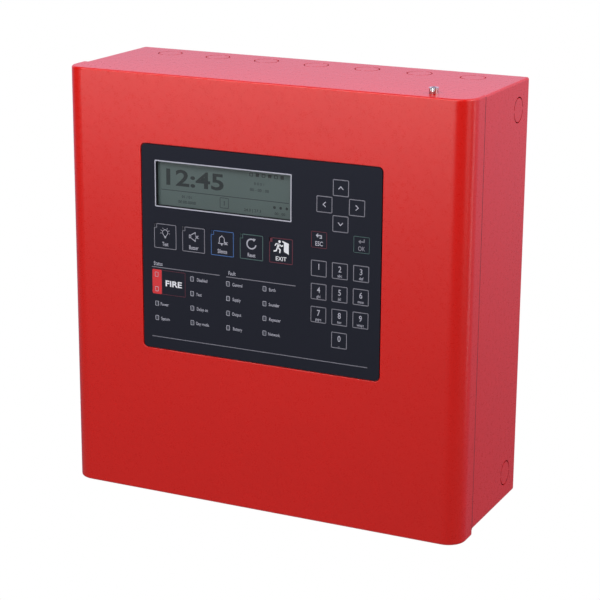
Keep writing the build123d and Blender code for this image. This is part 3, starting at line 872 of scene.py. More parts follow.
# ---------------------------------------------------------------- fascia graphics
@dataclass
class FasciaPrint:
    """Printed lines, headings and lamp frames of the fascia."""

    body: str = "door"
    slot: str = "navy_film"
    screen_line: float = 1.0    # width of the frame round the screen
    rule: float = 0.65          # width of the thin rules
    heading: float = 3.7        # height of the section headings
    lamp: Point = (3.3, 4.3)    # size of a status lamp's window
    lamp_line: float = 0.4      # width of its frame
    word: float = 3.0           # height of a lamp's word
    word_gap: float = 3.4       # lamp's centre to its word
    squeeze: float = 0.74       # width factor of those words
    letter: float = 0.76        # mean width of a letter as a share of its height
    box: Span = field(init=False)

    def __post_init__(self) -> None:
        """Reads the fascia's place."""
        self.box = Span.of("fascia_overlay")

    @property
    def face(self) -> float:
        """Y of the fascia's front."""
        return self.box.low.y

    def at(self, across: float, down: float) -> Point:
        """Point on the fascia, both as shares of its width from the top left."""
        width = self.box.size.x
        return (self.box.low.x + across * width, self.box.high.z - down * width)

    def screen_frame(self) -> None:
        """Pale frame round the screen window."""
        window = Span.of("display_window")
        ink = Ink(self.face)
        centre = (window.centre.x, window.centre.z)
        line = self.screen_line
        ink.outline(centre, window.size.x + 2 * line, window.size.z + 2 * line, line, 0.9)
        ink.piece("screen_frame_print", Stock.PALE_INK, self.body, self.slot)

    def rules(self) -> None:
        """Three thin rules and the two section headings."""
        ink = Ink(self.face)
        for start, end, down in ((0.0381, 0.3357, 0.481), (0.3632, 0.6555, 0.483), (0.0362, 0.9532, 0.761)):
            left, right = self.at(start, down), self.at(end, down)
            ink.bar(((left[0] + right[0]) / 2, left[1]), right[0] - left[0], self.rule)
        ink.piece("rule_print", Stock.GREY_INK, self.body, self.slot)
        ink = Ink(self.face)
        for word, across, down in (("Status", 0.0665, 0.4655), ("Fault", 0.3875, 0.4665)):
            ink.words(word, self.at(across, down), self.heading, 0.008, 0.72)
        ink.piece("heading_print", Stock.PALE_INK, self.body, self.slot)

    def lamps(self) -> None:
        """Frame and word of each status lamp."""
        names = (
            ("", "", "Power", "System"), ("Disabled", "Test", "Delay on", "Day mode"),
            ("General", "Supply", "Output", "Battery"), ("Earth", "Sounder", "Repeater", "Network"),
        )
        frames, labels = Ink(self.face), Ink(self.face)
        lamps = Span.of("led_windows")
        wide, high = self.lamp
        step_x = (lamps.size.x - wide) / 3
        step_z = (lamps.size.z - high) / 3
        for column, words in enumerate(names):
            for row, word in enumerate(words):
                x = lamps.low.x + wide / 2 + column * step_x
                z = lamps.high.z - high / 2 - row * step_z
                frames.outline((x, z), wide + 0.2, high + 0.2, self.lamp_line, 0.7)
                if word:
                    run = len(word) * self.word * self.letter * self.squeeze
                    start = x + self.word_gap
                    labels.words(word, (start + run / 2, z - 0.1), self.word, 0.01, self.squeeze)
        frames.piece("lamp_frame_print", Stock.PALE_INK, self.body, self.slot)
        labels.piece("lamp_word_print", Stock.PALE_INK, self.body, self.slot)

    def fire_block(self) -> None:
        """Red field round the two fire lamps, its maroon box and the word beside them."""
        low, high = self.at(0.0403, 0.5877), self.at(0.0813, 0.4904)
        right = self.at(0.1848, 0.5877)[0]
        centre = ((low[0] + high[0]) / 2, (low[1] + high[1]) / 2)
        height = high[1] - low[1]
        ink = Ink(self.face)
        ink.y = (self.face - ink.SINK, self.face + ink.SINK)    # lower than the marks beside it
        ink.fill(rounded_box(centre, high[0] - low[0], height, 1.2))
        ink.piece("fire_field_print", Stock.RED_INK, self.body, self.slot)
        ink = Ink(self.face)
        ink.outline(((high[0] + right) / 2, centre[1]), right - high[0] + 0.2, height, 0.35, 0.6)
        ink.piece("fire_box_print", Stock.MAROON_INK, self.body, self.slot)
        ink = Ink(self.face)
        ink.words("FIRE", (high[0] + 12.0, centre[1] - 0.4), 5.4, 0.035, 1.25)
        ink.piece("fire_word_print", Stock.WHITE_INK, self.body, self.slot)

    def build(self) -> None:
        """Prints everything on the fascia."""
        self.screen_frame()
        self.rules()
        self.lamps()
        self.fire_block()


class Icon:
    """Pictograms of the function keys, drawn about the origin on a 10 mm field."""

    @staticmethod
    def cross(ink: Ink, centre: Point, reach: float, line: float) -> None:
        """Prints a saltire.

        Args:
            ink: the print that it is drawn in.
            centre: its middle.
            reach: from the middle to each end, across and up.
            line: width of its strokes.
        """
        x, z = centre
        ink.stroke([(x - reach, z - reach), (x + reach, z + reach)], line)
        ink.stroke([(x - reach, z + reach), (x + reach, z - reach)], line)

    @staticmethod
    def bulb(ink: Ink) -> None:
        """Lamp with rays, for the test key.

        Args:
            ink: the print that it is drawn in.
        """
        globe = circle_points((0, 0.6), 2.7, 20, -50, 280)
        ink.stroke(globe[:1] + globe + [(-0.9, -2.9)], 0.55)
        ink.stroke([globe[0], (0.9, -2.9)], 0.55)
        ink.bar((0, -3.3), 2.0, 1.1)
        ink.bar((0, -4.3), 1.2, 0.6)
        for angle in (-10, 25, 60, 120, 155, 190):
            a = math.radians(angle)
            ink.stroke([(reach * math.cos(a), 0.6 + reach * math.sin(a)) for reach in (3.7, 4.9)], 0.5)

    @staticmethod
    def speaker(ink: Ink) -> None:
        """Struck-out sounder, for the mute key.

        Args:
            ink: the print that it is drawn in.
        """
        ink.outline((-3.3, 0), 2.0, 3.0, 0.55, 0.3)
        ink.stroke([(-2.2, -1.4), (1.6, -3.8), (1.6, -2.0)], 0.6)
        ink.stroke([(-2.2, 1.4), (1.6, 3.8), (1.6, 2.0)], 0.6)
        Icon.cross(ink, (3.2, 0), 1.25, 0.75)

    @staticmethod
    def bell(ink: Ink) -> None:
        """Struck-out bell, for the silence key.

        Args:
            ink: the print that it is drawn in.
        """
        dome = circle_points((-0.4, 0.8), 2.3, 12, 0, 180)
        ink.stroke([(2.5, -2.6), (1.9, -1.6)] + dome + [(-2.7, -1.6), (-3.4, -2.6)], 0.55)
        ink.stroke([(-3.7, -2.75), (1.3, -2.75)], 0.6)
        ink.fill(circle_points((-0.4, 3.5), 0.6, 12))
        ink.fill(circle_points((-0.5, -3.6), 0.75, 12))
        Icon.cross(ink, (3.4, -2.3), 1.2, 0.8)

    @staticmethod
    def circular_arrow(ink: Ink) -> None:
        """Open ring with a head, for the reset key."""
        ink.stroke(circle_points((0, 0), 3.9, 30, 62, 290), 1.05)
        ink.fill([(1.2, 4.7), (2.0, 1.9), (3.9, 4.2)])

    @staticmethod
    def way_out(ink: Ink) -> None:
        """Runner leaving through a door, for the evacuate key.

        Args:
            ink: the print that it is drawn in.
        """
        ink.fill(circle_points((-1.1, 4.2), 1.0, 14))
        ink.stroke([(-1.5, 2.9), (-2.5, 0.0)], 1.7)
        ink.stroke([(-1.6, 2.5), (0.4, 1.0), (1.6, 1.7)], 0.8)
        ink.stroke([(-1.8, 2.6), (-3.8, 2.4), (-4.6, 0.9)], 0.8)
        ink.stroke([(-2.3, 0.1), (-0.6, -1.6), (-1.0, -3.9)], 0.95)
        ink.stroke([(-2.7, 0.1), (-3.6, -2.4), (-5.6, -3.0)], 0.95)
        ink.fill([(2.2, -2.6), (5.9, -4.4), (5.9, 3.4), (1.0, 5.0), (1.0, 4.0), (2.2, 3.6)])

    @staticmethod
    def back(ink: Ink) -> None:
        """Arrow turning back, for the escape key."""
        ink.fill([(-3.2, 0.9), (-0.9, 2.9), (-0.9, -1.1)])
        ink.stroke([(-1.0, 0.9), (2.2, 0.9), (2.2, -1.3), (0.4, -1.3)], 0.9)

    @staticmethod
    def enter(ink: Ink) -> None:
        """Return arrow, for the enter key."""
        ink.fill([(-3.0, -0.2), (-0.9, 1.6), (-0.9, -2.0)])
        ink.stroke([(-1.0, -0.2), (2.4, -0.2), (2.4, 2.2)], 0.9)


@dataclass
class KeyPrint:
    """Frames and legends of the keys; every mark rides on its own key."""

    slot: str = "navy_film"
    big: float = 22.5               # outside of a large key's frame
    small: Point = (14.8, 14.4)
    big_line: float = 0.62          # width of the frames' lines
    small_line: float = 0.7
    confirm_line: float = 0.45
    picture_lift: float = 2.9       # pictograms above the middle of their key

    def start(self, key: str) -> Ink:
        """Opens a print centred on a key's tile."""
        box = Span.of(key)
        return Ink(box.low.y, (box.centre.x, box.centre.z))

    def close(self, ink: Ink, key: str, part: str, finish: Stock) -> None:
        """Lays a finished print on its key."""
        ink.piece(f"{key}_{part}", finish, body_of(key), self.slot)

    def small_frame(self, key: str, finish: Stock, line: float) -> None:
        """Prints the frame of a small key.

        Args:
            key: the key that it goes on.
            finish: its ink.
            line: width of its line.
        """
        ink = self.start(key)
        ink.outline((0, 0), *self.small, line, 1.0)
        self.close(ink, key, "frame_print", finish)

    def function_keys(self) -> None:
        """The five large keys: frame, corner lamp, pictogram and word."""
        plan: tuple[tuple[str, Stock, Callable[[Ink], None], str, float], ...] = (
            ("key_test", Stock.GREY_INK, Icon.bulb, "Test", 0.98),
            ("key_mute", Stock.GREY_INK, Icon.speaker, "Buzzer", 1.06),
            ("key_silence", Stock.BLUE_INK, Icon.bell, "Silence", 1.08),
            ("key_reset", Stock.GREEN_INK, Icon.circular_arrow, "Reset", 1.1),
            ("key_evacuate", Stock.MAROON_INK, Icon.way_out, "EXIT", 1.26),
        )
        for key, frame_ink, icon, word, size in plan:
            ink = self.start(key)
            ink.outline((0, 0), self.big, self.big, self.big_line)
            lamp = (-self.big / 2 + 1.5, self.big / 2 - 2.1)
            if frame_ink is Stock.MAROON_INK:
                ink.fill(rounded_box(lamp, 3.0, 4.2, 0.6))
            else:
                ink.outline(lamp, 3.0, 4.2, 0.5, 0.6)
            self.close(ink, key, "frame_print", frame_ink)
            ink = self.start(key)
            centre = ink.origin
            ink.origin = (centre[0], centre[1] + self.picture_lift)
            ink.scale = size
            icon(ink)
            ink.origin = centre
            ink.scale = 1.0
            squeeze, word_ink = (1.0, Stock.WHITE_INK) if word.isupper() else (0.66, Stock.PALE_INK)
            ink.words(word, (0, -6.9), 3.7, 0.015, squeeze)
            self.close(ink, key, "legend_print", word_ink)

    def arrow_keys(self) -> None:
        """Four keys with a chevron each."""
        for key, angle in (("key_up", 0), ("key_left", 90), ("key_down", 180), ("key_right", 270)):
            self.small_frame(key, Stock.GREY_INK, self.small_line)
            ink = self.start(key)
            c, s = math.cos(math.radians(angle)), math.sin(math.radians(angle))
            chevron = [(x * c - z * s, x * s + z * c) for x, z in ((-2.2, -1.2), (0, 1.2), (2.2, -1.2))]
            ink.stroke(chevron, 0.75)
            self.close(ink, key, "legend_print", Stock.PALE_INK)

    def confirm_keys(self) -> None:
        """Escape and enter."""
        plan = (
            ("key_escape", Stock.MAROON_INK, Icon.back, "ESC", Stock.PALE_INK),
            ("key_enter", Stock.GREEN_INK, Icon.enter, "OK", Stock.GREY_INK),
        )
        for key, frame_ink, icon, word, word_ink in plan:
            self.small_frame(key, frame_ink, self.confirm_line)
            ink = self.start(key)
            centre = ink.origin
            ink.origin = (centre[0], centre[1] + self.picture_lift)
            icon(ink)
            ink.origin = centre
            ink.words(word, (0, -3.2), 4.0, 0.02, 0.8)
            self.close(ink, key, "legend_print", word_ink)

    def digit_keys(self) -> None:
        """Ten keys with a digit and its small letters."""
        letters = ("_", "", "abc", "def", "ghi", "jkl", "mno", "pqrs", "tuv", "wxyz")
        for digit, small in enumerate(letters):
            key = f"key_{digit}"
            self.small_frame(key, Stock.GREY_INK, self.small_line)
            ink = self.start(key)
            ink.words(str(digit), (0, 1.7), 5.4, 0.012, 0.82)
            if small:
                ink.words(small, (0, -4.1), 2.7, 0.006, 0.86)
            self.close(ink, key, "legend_print", Stock.PALE_INK)

    def build(self) -> None:
        """Prints every key."""
        self.function_keys()
        self.arrow_keys()
        self.confirm_keys()
        self.digit_keys()


@dataclass
class Screen:
    """Foam mask round the recessed screen, and the marks that the screen shows."""

    body: str = "door"

    def mask(self) -> None:
        """Black foam that lines the opening from the fascia to the bezel."""
        window, glass, fascia = Span.of("display_window"), Span.of("lcd_glass"), Span.of("fascia_overlay")
        centre = (window.centre.x, window.centre.z)
        outer = rounded_box(centre, window.size.x + 1.9, window.size.z + 1.9, 0.5)
        inner = rounded_box(centre, window.size.x - 0.3, window.size.z - 0.3, 0.3)
        form = Form()
        form.ring(outer, inner, (fascia.high.y + 0.02, glass.low.y))
        form.piece("screen_mask", Stock.FOAM, self.body, "black_plastic")

    def dots(self) -> None:
        """Clock digits, lines and small marks, drawn in the cell's dark dots."""
        glass, window = Span.of("lcd_glass"), Span.of("display_window")
        left, top = window.low.x, window.high.z
        wide, high = window.size.x, window.size.z

        def at(across: float, down: float) -> Point:
            """Point on the screen as shares of its width and height."""
            return (left + across * wide, top - down * high)

        ink = Ink(glass.low.y)
        ink.words("12:45", at(0.265, 0.34), 14.5, 0.03, 1.42)
        rule = at(0.5, 0.645)
        ink.bar(rule, wide * 0.95, 0.55)
        for i in range(6):
            x, z = at(0.70 + i * 0.045, 0.10)
            if i % 2:
                ink.bar((x, z), 3.2, 3.0)
            else:
                ink.outline((x, z), 3.4, 3.2, 0.6, 0.4)
        ink.words("0 0 0 1", at(0.76, 0.29), 2.4, 0.01, 1.1)
        ink.words("00 - 00 : 00", at(0.76, 0.43), 2.6, 0.01, 1.1)
        ink.words("01 / 01", at(0.22, 0.76), 2.4, 0.01, 1.1)
        ink.words("00.00.0000", at(0.22, 0.88), 2.6, 0.01, 1.1)
        box = at(0.5, 0.80)
        ink.outline(box, 8.6, 9.4, 0.45, 0.6)
        ink.words("1", box, 4.2, 0.01)
        ink.words("24.0 | 27.3", at(0.71, 0.89), 2.6, 0.01, 1.1)
        for i in range(3):
            x, z = at(0.87 + i * 0.045, 0.77)
            ink.fill(circle_points((x, z), 1.3, 12))
        ink.words("00 : 00", at(0.91, 0.9), 2.4, 0.01, 1.1)
        ink.piece("screen_dots", Stock.SCREEN_DOT, self.body, "lcd_cell")

    def build(self) -> None:
        """Makes the mask and the shown marks."""
        self.mask()
        self.dots()


# ---------------------------------------------------------------- fine parts
class Pattern:
    """Small forms that repeat, drawn about the origin with their base at Y = 0 and their top toward -Y."""

    @staticmethod
    def slotted_screw(radius: float, rise: float) -> Form:
        """Flat screw head cut by a slot.

        Args:
            radius: head radius.
            rise: head height.

        Returns:
            The form.
        """
        form = Form()
        slot = radius * 0.16
        for side in (-1, 1):
            edge = [(x, side * z) for x, z in circle_points((0, 0), radius, 22) if z > slot * 1.5]
            reach = math.sqrt(radius**2 - slot**2)
            form.prism([(reach, side * slot)] + edge + [(-reach, side * slot)], (-rise, 0.0))
        form.prism(circle_points((0, 0), radius * 0.97, 20), (-rise * 0.45, 0.001))
        return form

    @staticmethod
    def pan_screw(radius: float, rise: float) -> Form:
        """Pan head with a chamfered edge and a low crown, too small for its recess to be made.

        Args:
            radius: head radius.
            rise: head height.

        Returns:
            The form.
        """
        form = Form()
        rim = [(0, 0.0), (radius, 0.0), (radius, -rise * 0.55)]
        crown = [(radius * 0.72, -rise), (0, -rise * 1.04)]
        form.lathe(rim + crown, (0, 0), 18)
        return form

    @staticmethod
    def chip_resistor(width: float, height: float, rise: float) -> Form:
        """Body of a surface-mount part with its two end caps a little proud.

        Args:
            width: length over the body, without the caps' overhang.
            height: width of the body.
            rise: height of the body.

        Returns:
            The form.
        """
        form = Form()
        form.block((-width / 2, -rise, -height / 2), (width / 2, 0, height / 2))
        cap = width * 0.2
        for side in (-1, 1):
            low, high = sorted((side * (width / 2 - cap), side * (width / 2 + 0.05)))
            form.block((low, -rise - 0.05, -height / 2 - 0.04), (high, 0, height / 2 + 0.04))
        return form

    @staticmethod
    def header_pin(side: float, length: float) -> Form:
        """Square post with rounded edges.

        Args:
            side: width of the post.
            length: its length.

        Returns:
            The form.
        """
        form = Form()
        half = side / 2
        form.block((-half, -length, -half), (half, 0, half), half * 0.4)
        return form


@dataclass
class Board:
    """One circuit board whose face looks to the front: its legend and surface-mount parts."""

    body: str
    face: float                 # Y of the bare face
    slot: str = "green_board"
    step_x: float = 2.6         # grid of the surface-mount parts
    step_z: float = 2.2
    tries: int = 6              # draws allowed for each part
    dark_share: float = 0.55    # share of the parts that are black

    def legend(self, name: str, marks: Callable[[Ink], None]) -> None:
        """Prints a white legend.

        Args:
            name: the piece's name.
            marks: draws the marks in the print that it is given.
        """
        ink = Ink(self.face)
        marks(ink)
        ink.piece(name, Stock.SILK, self.body, self.slot)

    def scatter(
        self, name: str, zones: Sequence[tuple[float, float, float, float]], count: int, seed: int
    ) -> None:
        """Lays surface-mount parts on a loose grid inside zones.

        Args:
            name: start of the pieces' names.
            zones: left, bottom, right and top of each area.
            count: parts for each zone.
            seed: seed of the layout.
        """
        draw = random.Random(seed)
        dark, pale = [], []
        for left, bottom, right, top in zones:
            taken: list[Point] = []
            for _ in range(count * self.tries):
                if len(taken) >= count:
                    break
                x = left + round(draw.random() * (right - left) / self.step_x) * self.step_x
                z = bottom + round(draw.random() * (top - bottom) / self.step_z) * self.step_z
                if (x, z) in taken:
                    continue
                taken.append((x, z))
                chosen = dark if draw.random() < self.dark_share else pale
                chosen.append((x, self.face, z))
        for kind, size, spots, finish, kind_seed in (
            ("resistors", (1.6, 0.85, 0.5), dark, Stock.EPOXY_BLACK, seed),
            ("ceramics", (1.5, 0.9, 0.8), pale, Stock.CERAMIC_TAN, seed + 1),
        ):
            form = Pattern.chip_resistor(*size)
            Repeat.lay(f"{name}_{kind}", form, spots, finish, self.body, self.slot, 0.0, kind_seed)


@dataclass
class MainBoardDetail:
    """Legends, leads, screws and small parts of the main board and loop card."""

    body: str = "cabinet"
    pitch: float = 5.08         # between field terminals
    ways: int = 8               # terminals in one block
    block_first: float = 36.0   # first block's centre from the board's left edge
    block_step: float = 46.0
    block_inset: float = 16.0   # block centres from the board's top and bottom edges
    relay_first: float = 8.0    # first relay's centre from the row's left end
    relay_step: float = 20.0
    can_first: float = 6.3      # first small capacitor's centre from the row's left end
    can_step: float = 16.0
    can_lift: float = 44.0      # small capacitors' centres above the board's bottom edge
    can_rise: float = 20.0      # height of the small capacitors
    tall_rise: float = 25.0     # height of the big capacitor
    fuse_first: float = 112.0   # first fuse's centre from the board's left edge
    fuse_step: float = 13.0
    fuse_rise: float = 5.5      # fuse centres off the board
    chip_first: float = 42.0    # processor's centre from the board's left edge
    chip_lift: float = 2.0      # and above the board's middle
    chip_half: float = 10.0     # processor's centre to its rows of leads
    fine_pitch: float = 1.27    # leads of the smaller chips
    loop_face: float = -26.4    # Y of the loop card's face
    board: Span = field(init=False)
    relays: Span = field(init=False)
    cans: Span = field(init=False)

    def __post_init__(self) -> None:
        """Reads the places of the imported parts."""
        self.board = Span.of("main_board")
        self.relays = Span.of("relays")
        self.cans = Span.of("capacitors")

    def block_places(self) -> list[Point]:
        """Centres of the eight field terminal blocks, the top row first.

        Returns:
            X and Z of each block's centre.
        """
        columns = spaced(self.board.low.x + self.block_first, self.block_step, 4)
        rows = (self.board.high.z - self.block_inset, self.board.low.z + self.block_inset)
        return [(x, z) for z in rows for x in columns]

    def relay_places(self) -> list[float]:
        """X of the four relays."""
        return spaced(self.relays.low.x + self.relay_first, self.relay_step, 4)

    def can_places(self) -> list[Point]:
        """Centres of the four small capacitors."""
        lift = self.board.low.z + self.can_lift
        return [(x, lift) for x in spaced(self.cans.low.x + self.can_first, self.can_step, 4)]

    def fuse_places(self) -> list[float]:
        """X of the five fuses."""
        return spaced(self.board.low.x + self.fuse_first, self.fuse_step, 5)

    def terminals(self) -> None:
        """Slotted screws and numbers of the field terminal blocks."""
        top_y = Span.of("field_terminals").low.y
        middle = (self.ways - 1) / 2
        points = [
            (x + (n - middle) * self.pitch, top_y, z - 0.6)
            for x, z in self.block_places() for n in range(self.ways)
        ]
        screw = Pattern.slotted_screw(1.75, 0.45)
        Repeat.lay("terminal_screws", screw, points, Stock.ZINC, self.body, "zinc_steel", 0.9, 3)
        ink = Ink(top_y)
        for i, (x, _, z) in enumerate(points):
            lift = 4.2 if z < 0 else -4.2
            ink.words(str(i % self.ways + 1), (x, z + lift), 1.6, 0.01, 0.9)
        ink.piece("terminal_numbers", Stock.SILK, self.body, "terminal_green")

    def legends(self) -> None:
        """White outlines round parts and reference numbers."""
        board, relays = self.board, self.relays

        def marks(ink: Ink) -> None:
            """Draws the legend of the main board.

            Args:
                ink: the print that it is drawn in.
            """
            for number, (x, z) in enumerate(self.block_places(), 1):
                ink.outline((x, z), self.pitch * self.ways + 2, 13, 0.25, 0.5)
                lift = -8.6 if z > 0 else 8.6
                ink.words(f"J{number}", (x - 15, z + lift), 2.2)
            for number, x in enumerate(self.relay_places(), 1):
                ink.outline((x, relays.centre.z), 17.6, 20.6, 0.25, 0.5)
                ink.words(f"K{number}", (x, relays.low.z - 2.6), 2.0)
            for number, (x, z) in enumerate(self.can_places(), 1):
                ink.circle((x, z), 7.2, 0.25)
                ink.words(f"C{number}", (x, board.low.z + 34.6), 2.0)
            for number, x in enumerate(self.fuse_places(), 1):
                ink.words(f"F{number}", (x, board.high.z - 57), 2.0)
            ink.outline((board.centre.x, board.centre.z), board.size.x - 3, board.size.z - 3, 0.25, 2.0)

        Board(self.body, board.low.y).legend("main_board_legend", marks)

    def surface_parts(self) -> None:
        """Surface-mount parts in the clear areas of the main board."""
        board = self.board
        left, right, mid = board.low.x, board.high.x, board.centre.z
        Board(self.body, board.low.y).scatter("main_board", (
            (left + 12, mid - 46, left + 50, mid - 32), (left + 12, mid + 16, left + 28, mid + 26),
            (left + 88, mid - 6, left + 108, mid + 26), (left + 56, mid - 12, left + 68, mid + 18),
            (right - 50, mid - 50, right - 14, mid - 38), (left + 10, mid - 12, left + 28, mid + 8),
            (left + 92, mid - 50, left + 168, mid - 40),
        ), 26, 11)

    def chip_leads(self) -> None:
        """Leads of the processor, on four sides, and of the smaller chips, on two."""
        face, left, mid = self.board.low.y, self.board.low.x, self.board.centre.z
        x, z = left + self.chip_first, mid + self.chip_lift
        across, along = [], []
        for i in range(16):
            step = i - 7.5
            across += [(x + side * self.chip_half, face, z + step) for side in (1, -1)]
            along += [(x + step, face, z + side * self.chip_half) for side in (1, -1)]
        for right_of, above, half, count in ((76, 8, 5, 8), (76, -10, 4, 7)):
            for i in range(count):
                lift = (i - (count - 1) / 2) * self.fine_pitch
                across += [(left + right_of + side * half, face, mid + above + lift) for side in (-1, 1)]
        for i in range(13):
            reach = left + 30 + (i - 6) * self.fine_pitch
            along += [(reach, face, mid - 22 + side * 3.7) for side in (-1, 1)]
        for name, points, reach_x, reach_z in (
            ("across", across, 1.2, 0.22), ("along", along, 0.22, 1.2),
        ):
            lead = Form()
            lead.block((-reach_x, -0.35, -reach_z), (reach_x, 0, reach_z))
            Repeat.lay(f"chip_leads_{name}", lead, points, Stock.TIN, self.body, "tinned_metal")

    def posts_and_joints(self) -> None:
        """Header posts and soldered joints."""
        face, left, mid = self.board.low.y, self.board.low.x, self.board.centre.z
        posts = [
            (left + 62 + (i - 5.5) * 2.2, face - 9, mid - 26 + side * 1.3)
            for i in range(12) for side in (-1, 1)
        ]
        post = Pattern.header_pin(0.64, 0.8)
        Repeat.lay("header_posts", post, posts, Stock.GOLD, self.body, "tinned_metal")
        joint = Form()
        joint.lathe([(0, 0), (0.9, 0), (0.45, -0.7), (0, -0.95)], (0, 0), 8)
        draw = random.Random(5)
        spots = [(left + 92 + i * 4.4, face, mid - 36 + draw.choice((0, 3.4, 6.8))) for i in range(18)]
        Repeat.lay("solder_joints", joint, spots, Stock.TIN, self.body, "tinned_metal")

    def capacitor_tops(self) -> None:
        """Bare lids on the capacitors, each with its vent cross drawn as a flat black cross that paints the
        shade of the scored grooves.
        """
        big = (self.board.high.x - 24, self.board.high.z - 44)
        tops = [(place, self.board.low.y - self.can_rise, 5.3, 24) for place in self.can_places()]
        tops.append((big, self.board.low.y - self.tall_rise, 7.9, 28))
        lids, vent_shade, points = Form(), Form(), []
        for place, top, radius, steps in tops:
            profile = [(0, top - 0.06), (radius, top - 0.06), (radius + 0.2, top + 0.3), (0, top + 0.3)]
            lids.lathe(profile, place, steps)
            points.append((place[0], top - 0.06, place[1]))
        lids.piece("capacitor_lids", Stock.ALUMINIUM, self.body, "bare_aluminium", True)
        # painted shade: black crosses laid on the bare lids where the scored vents' grooves would only be
        # in shade
        for reach_x, reach_z in ((2.9, 0.28), (0.28, 2.9)):
            vent_shade.block((-reach_x, -0.05, -reach_z), (reach_x, 0.02, reach_z))
        Repeat.lay(
            "capacitor_vents", vent_shade, points, Stock.EPOXY_BLACK, self.body, "capacitor_sleeve", 0.6, 7
        )

    def printed_tops(self) -> None:
        """Printed marks on the relays and the chips."""
        relays, left, mid, face = self.relays, self.board.low.x, self.board.centre.z, self.board.low.y
        ink = Ink(relays.low.y)
        for x in self.relay_places():
            ink.words("24V", (x, relays.centre.z + 4), 2.6, 0.02)
            ink.words("8A", (x, relays.centre.z - 1), 2.2, 0.01)
            ink.bar((x, relays.centre.z - 5), 11, 0.35)
            ink.outline((x, relays.centre.z), 14.4, 17.2, 0.3, 0.8)
        ink.piece("relay_marks", Stock.SILK, self.body, "relay_black")
        dots = Form()
        for x, z, rise in ((34.4, 9.6, 1.6), (72.4, 12.6, 2.2), (73.2, -6.4, 2.2), (22.8, -19.6, 4.0)):
            top = face - rise
            profile = [(0, top - 0.04), (0.7, top - 0.04), (0.7, top + 0.02), (0, top + 0.02)]
            dots.lathe(profile, (left + x, mid + z), 14)
        dots.piece("chip_pin_marks", Stock.GREY_INK, self.body, "black_plastic")
        ink = Ink(face - 1.6)
        for k in range(3):
            ink.bar((left + self.chip_first, mid + 4.4 - k * 2.4), 12 - k * 2, 0.8)
        ink.piece("chip_top_marks", Stock.GREY_INK, self.body, "black_plastic")

    def fuses(self) -> None:
        """Ceramic tubes between the clips."""
        middle, half, facets = Span.of("board_fuses").centre.z, 6.2, 20
        form = Form()
        for x in self.fuse_places():
            ring = circle_points((x, self.board.low.y - self.fuse_rise), 2.56, facets)
            low, high = [
                [form.mesh.verts.new((px, py, z)) for px, py in ring]
                for z in (middle - half, middle + half)
            ]
            for k in range(facets):
                m = (k + 1) % facets
                form.mesh.faces.new((low[k], low[m], high[m], high[k]))
            form.mesh.faces.new(low[::-1])
            form.mesh.faces.new(high)
        form.piece("fuse_tubes", Stock.CERAMIC, self.body, "tinned_metal", True)

    def loop_card(self) -> None:
        """Legend, leads, chokes and small parts of the plug-in loop card."""
        card = Span.of("loop_card")
        face = self.loop_face
        left, low = card.low.x, card.low.z

        def marks(ink: Ink) -> None:
            """Draws the legend of the loop card.

            Args:
                ink: the print that it is drawn in.
            """
            ink.outline((card.centre.x, card.centre.z), card.size.x - 2.4, card.size.z - 2.4, 0.3, 1.6)
            ink.words("LOOP 1", (left + 78, low + 8), 3.4, 0.01)
            ink.outline((left + 28, low + 20), 24, 18, 0.3, 0.6)
            ink.outline((left + 74, low + 42), 17.4, 17.4, 0.3, 0.6)

        loop = Board(self.body, face)
        loop.legend("loop_card_legend", marks)
        loop.scatter("loop_card", (
            (left + 6, low + 34, left + 30, low + 60), (left + 36, low + 32, left + 60, low + 60),
            (left + 46, low + 14, left + 92, low + 24), (left + 86, low + 32, left + 95, low + 58),
        ), 24, 23)
        points = [
            (left + 74 + side * 7.1, face, low + 42 + (i - 5.5) * 0.95)
            for i in range(12) for side in (-1, 1)
        ]
        lead = Form()
        lead.block((-1.0, -0.3, -0.2), (1.0, 0, 0.2))
        Repeat.lay("loop_chip_leads", lead, points, Stock.TIN, self.body, "tinned_metal")
        # a choke turned from its base: foot, drum, rounded rim and a shallow dish
        profile = [
            (0, face), (5.2, face), (5.6, face - 1), (5.6, face - 5.4),
            (4.8, face - 6.2), (2.2, face - 6.2), (2.0, face - 5.8), (0, face - 5.8),
        ]
        chokes = Form()
        for k in range(2):
            chokes.lathe(profile, (left + 14 + k * 13.5, low + 48), 26)
        chokes.piece("loop_chokes", Stock.EPOXY_BLACK, self.body, "black_plastic", True)

    def build(self) -> None:
        """Makes everything on the two boards."""
        self.terminals()
        self.legends()
        self.surface_parts()
        self.chip_leads()
        self.posts_and_joints()
        self.capacitor_tops()
        self.printed_tops()
        self.fuses()
        self.loop_card()


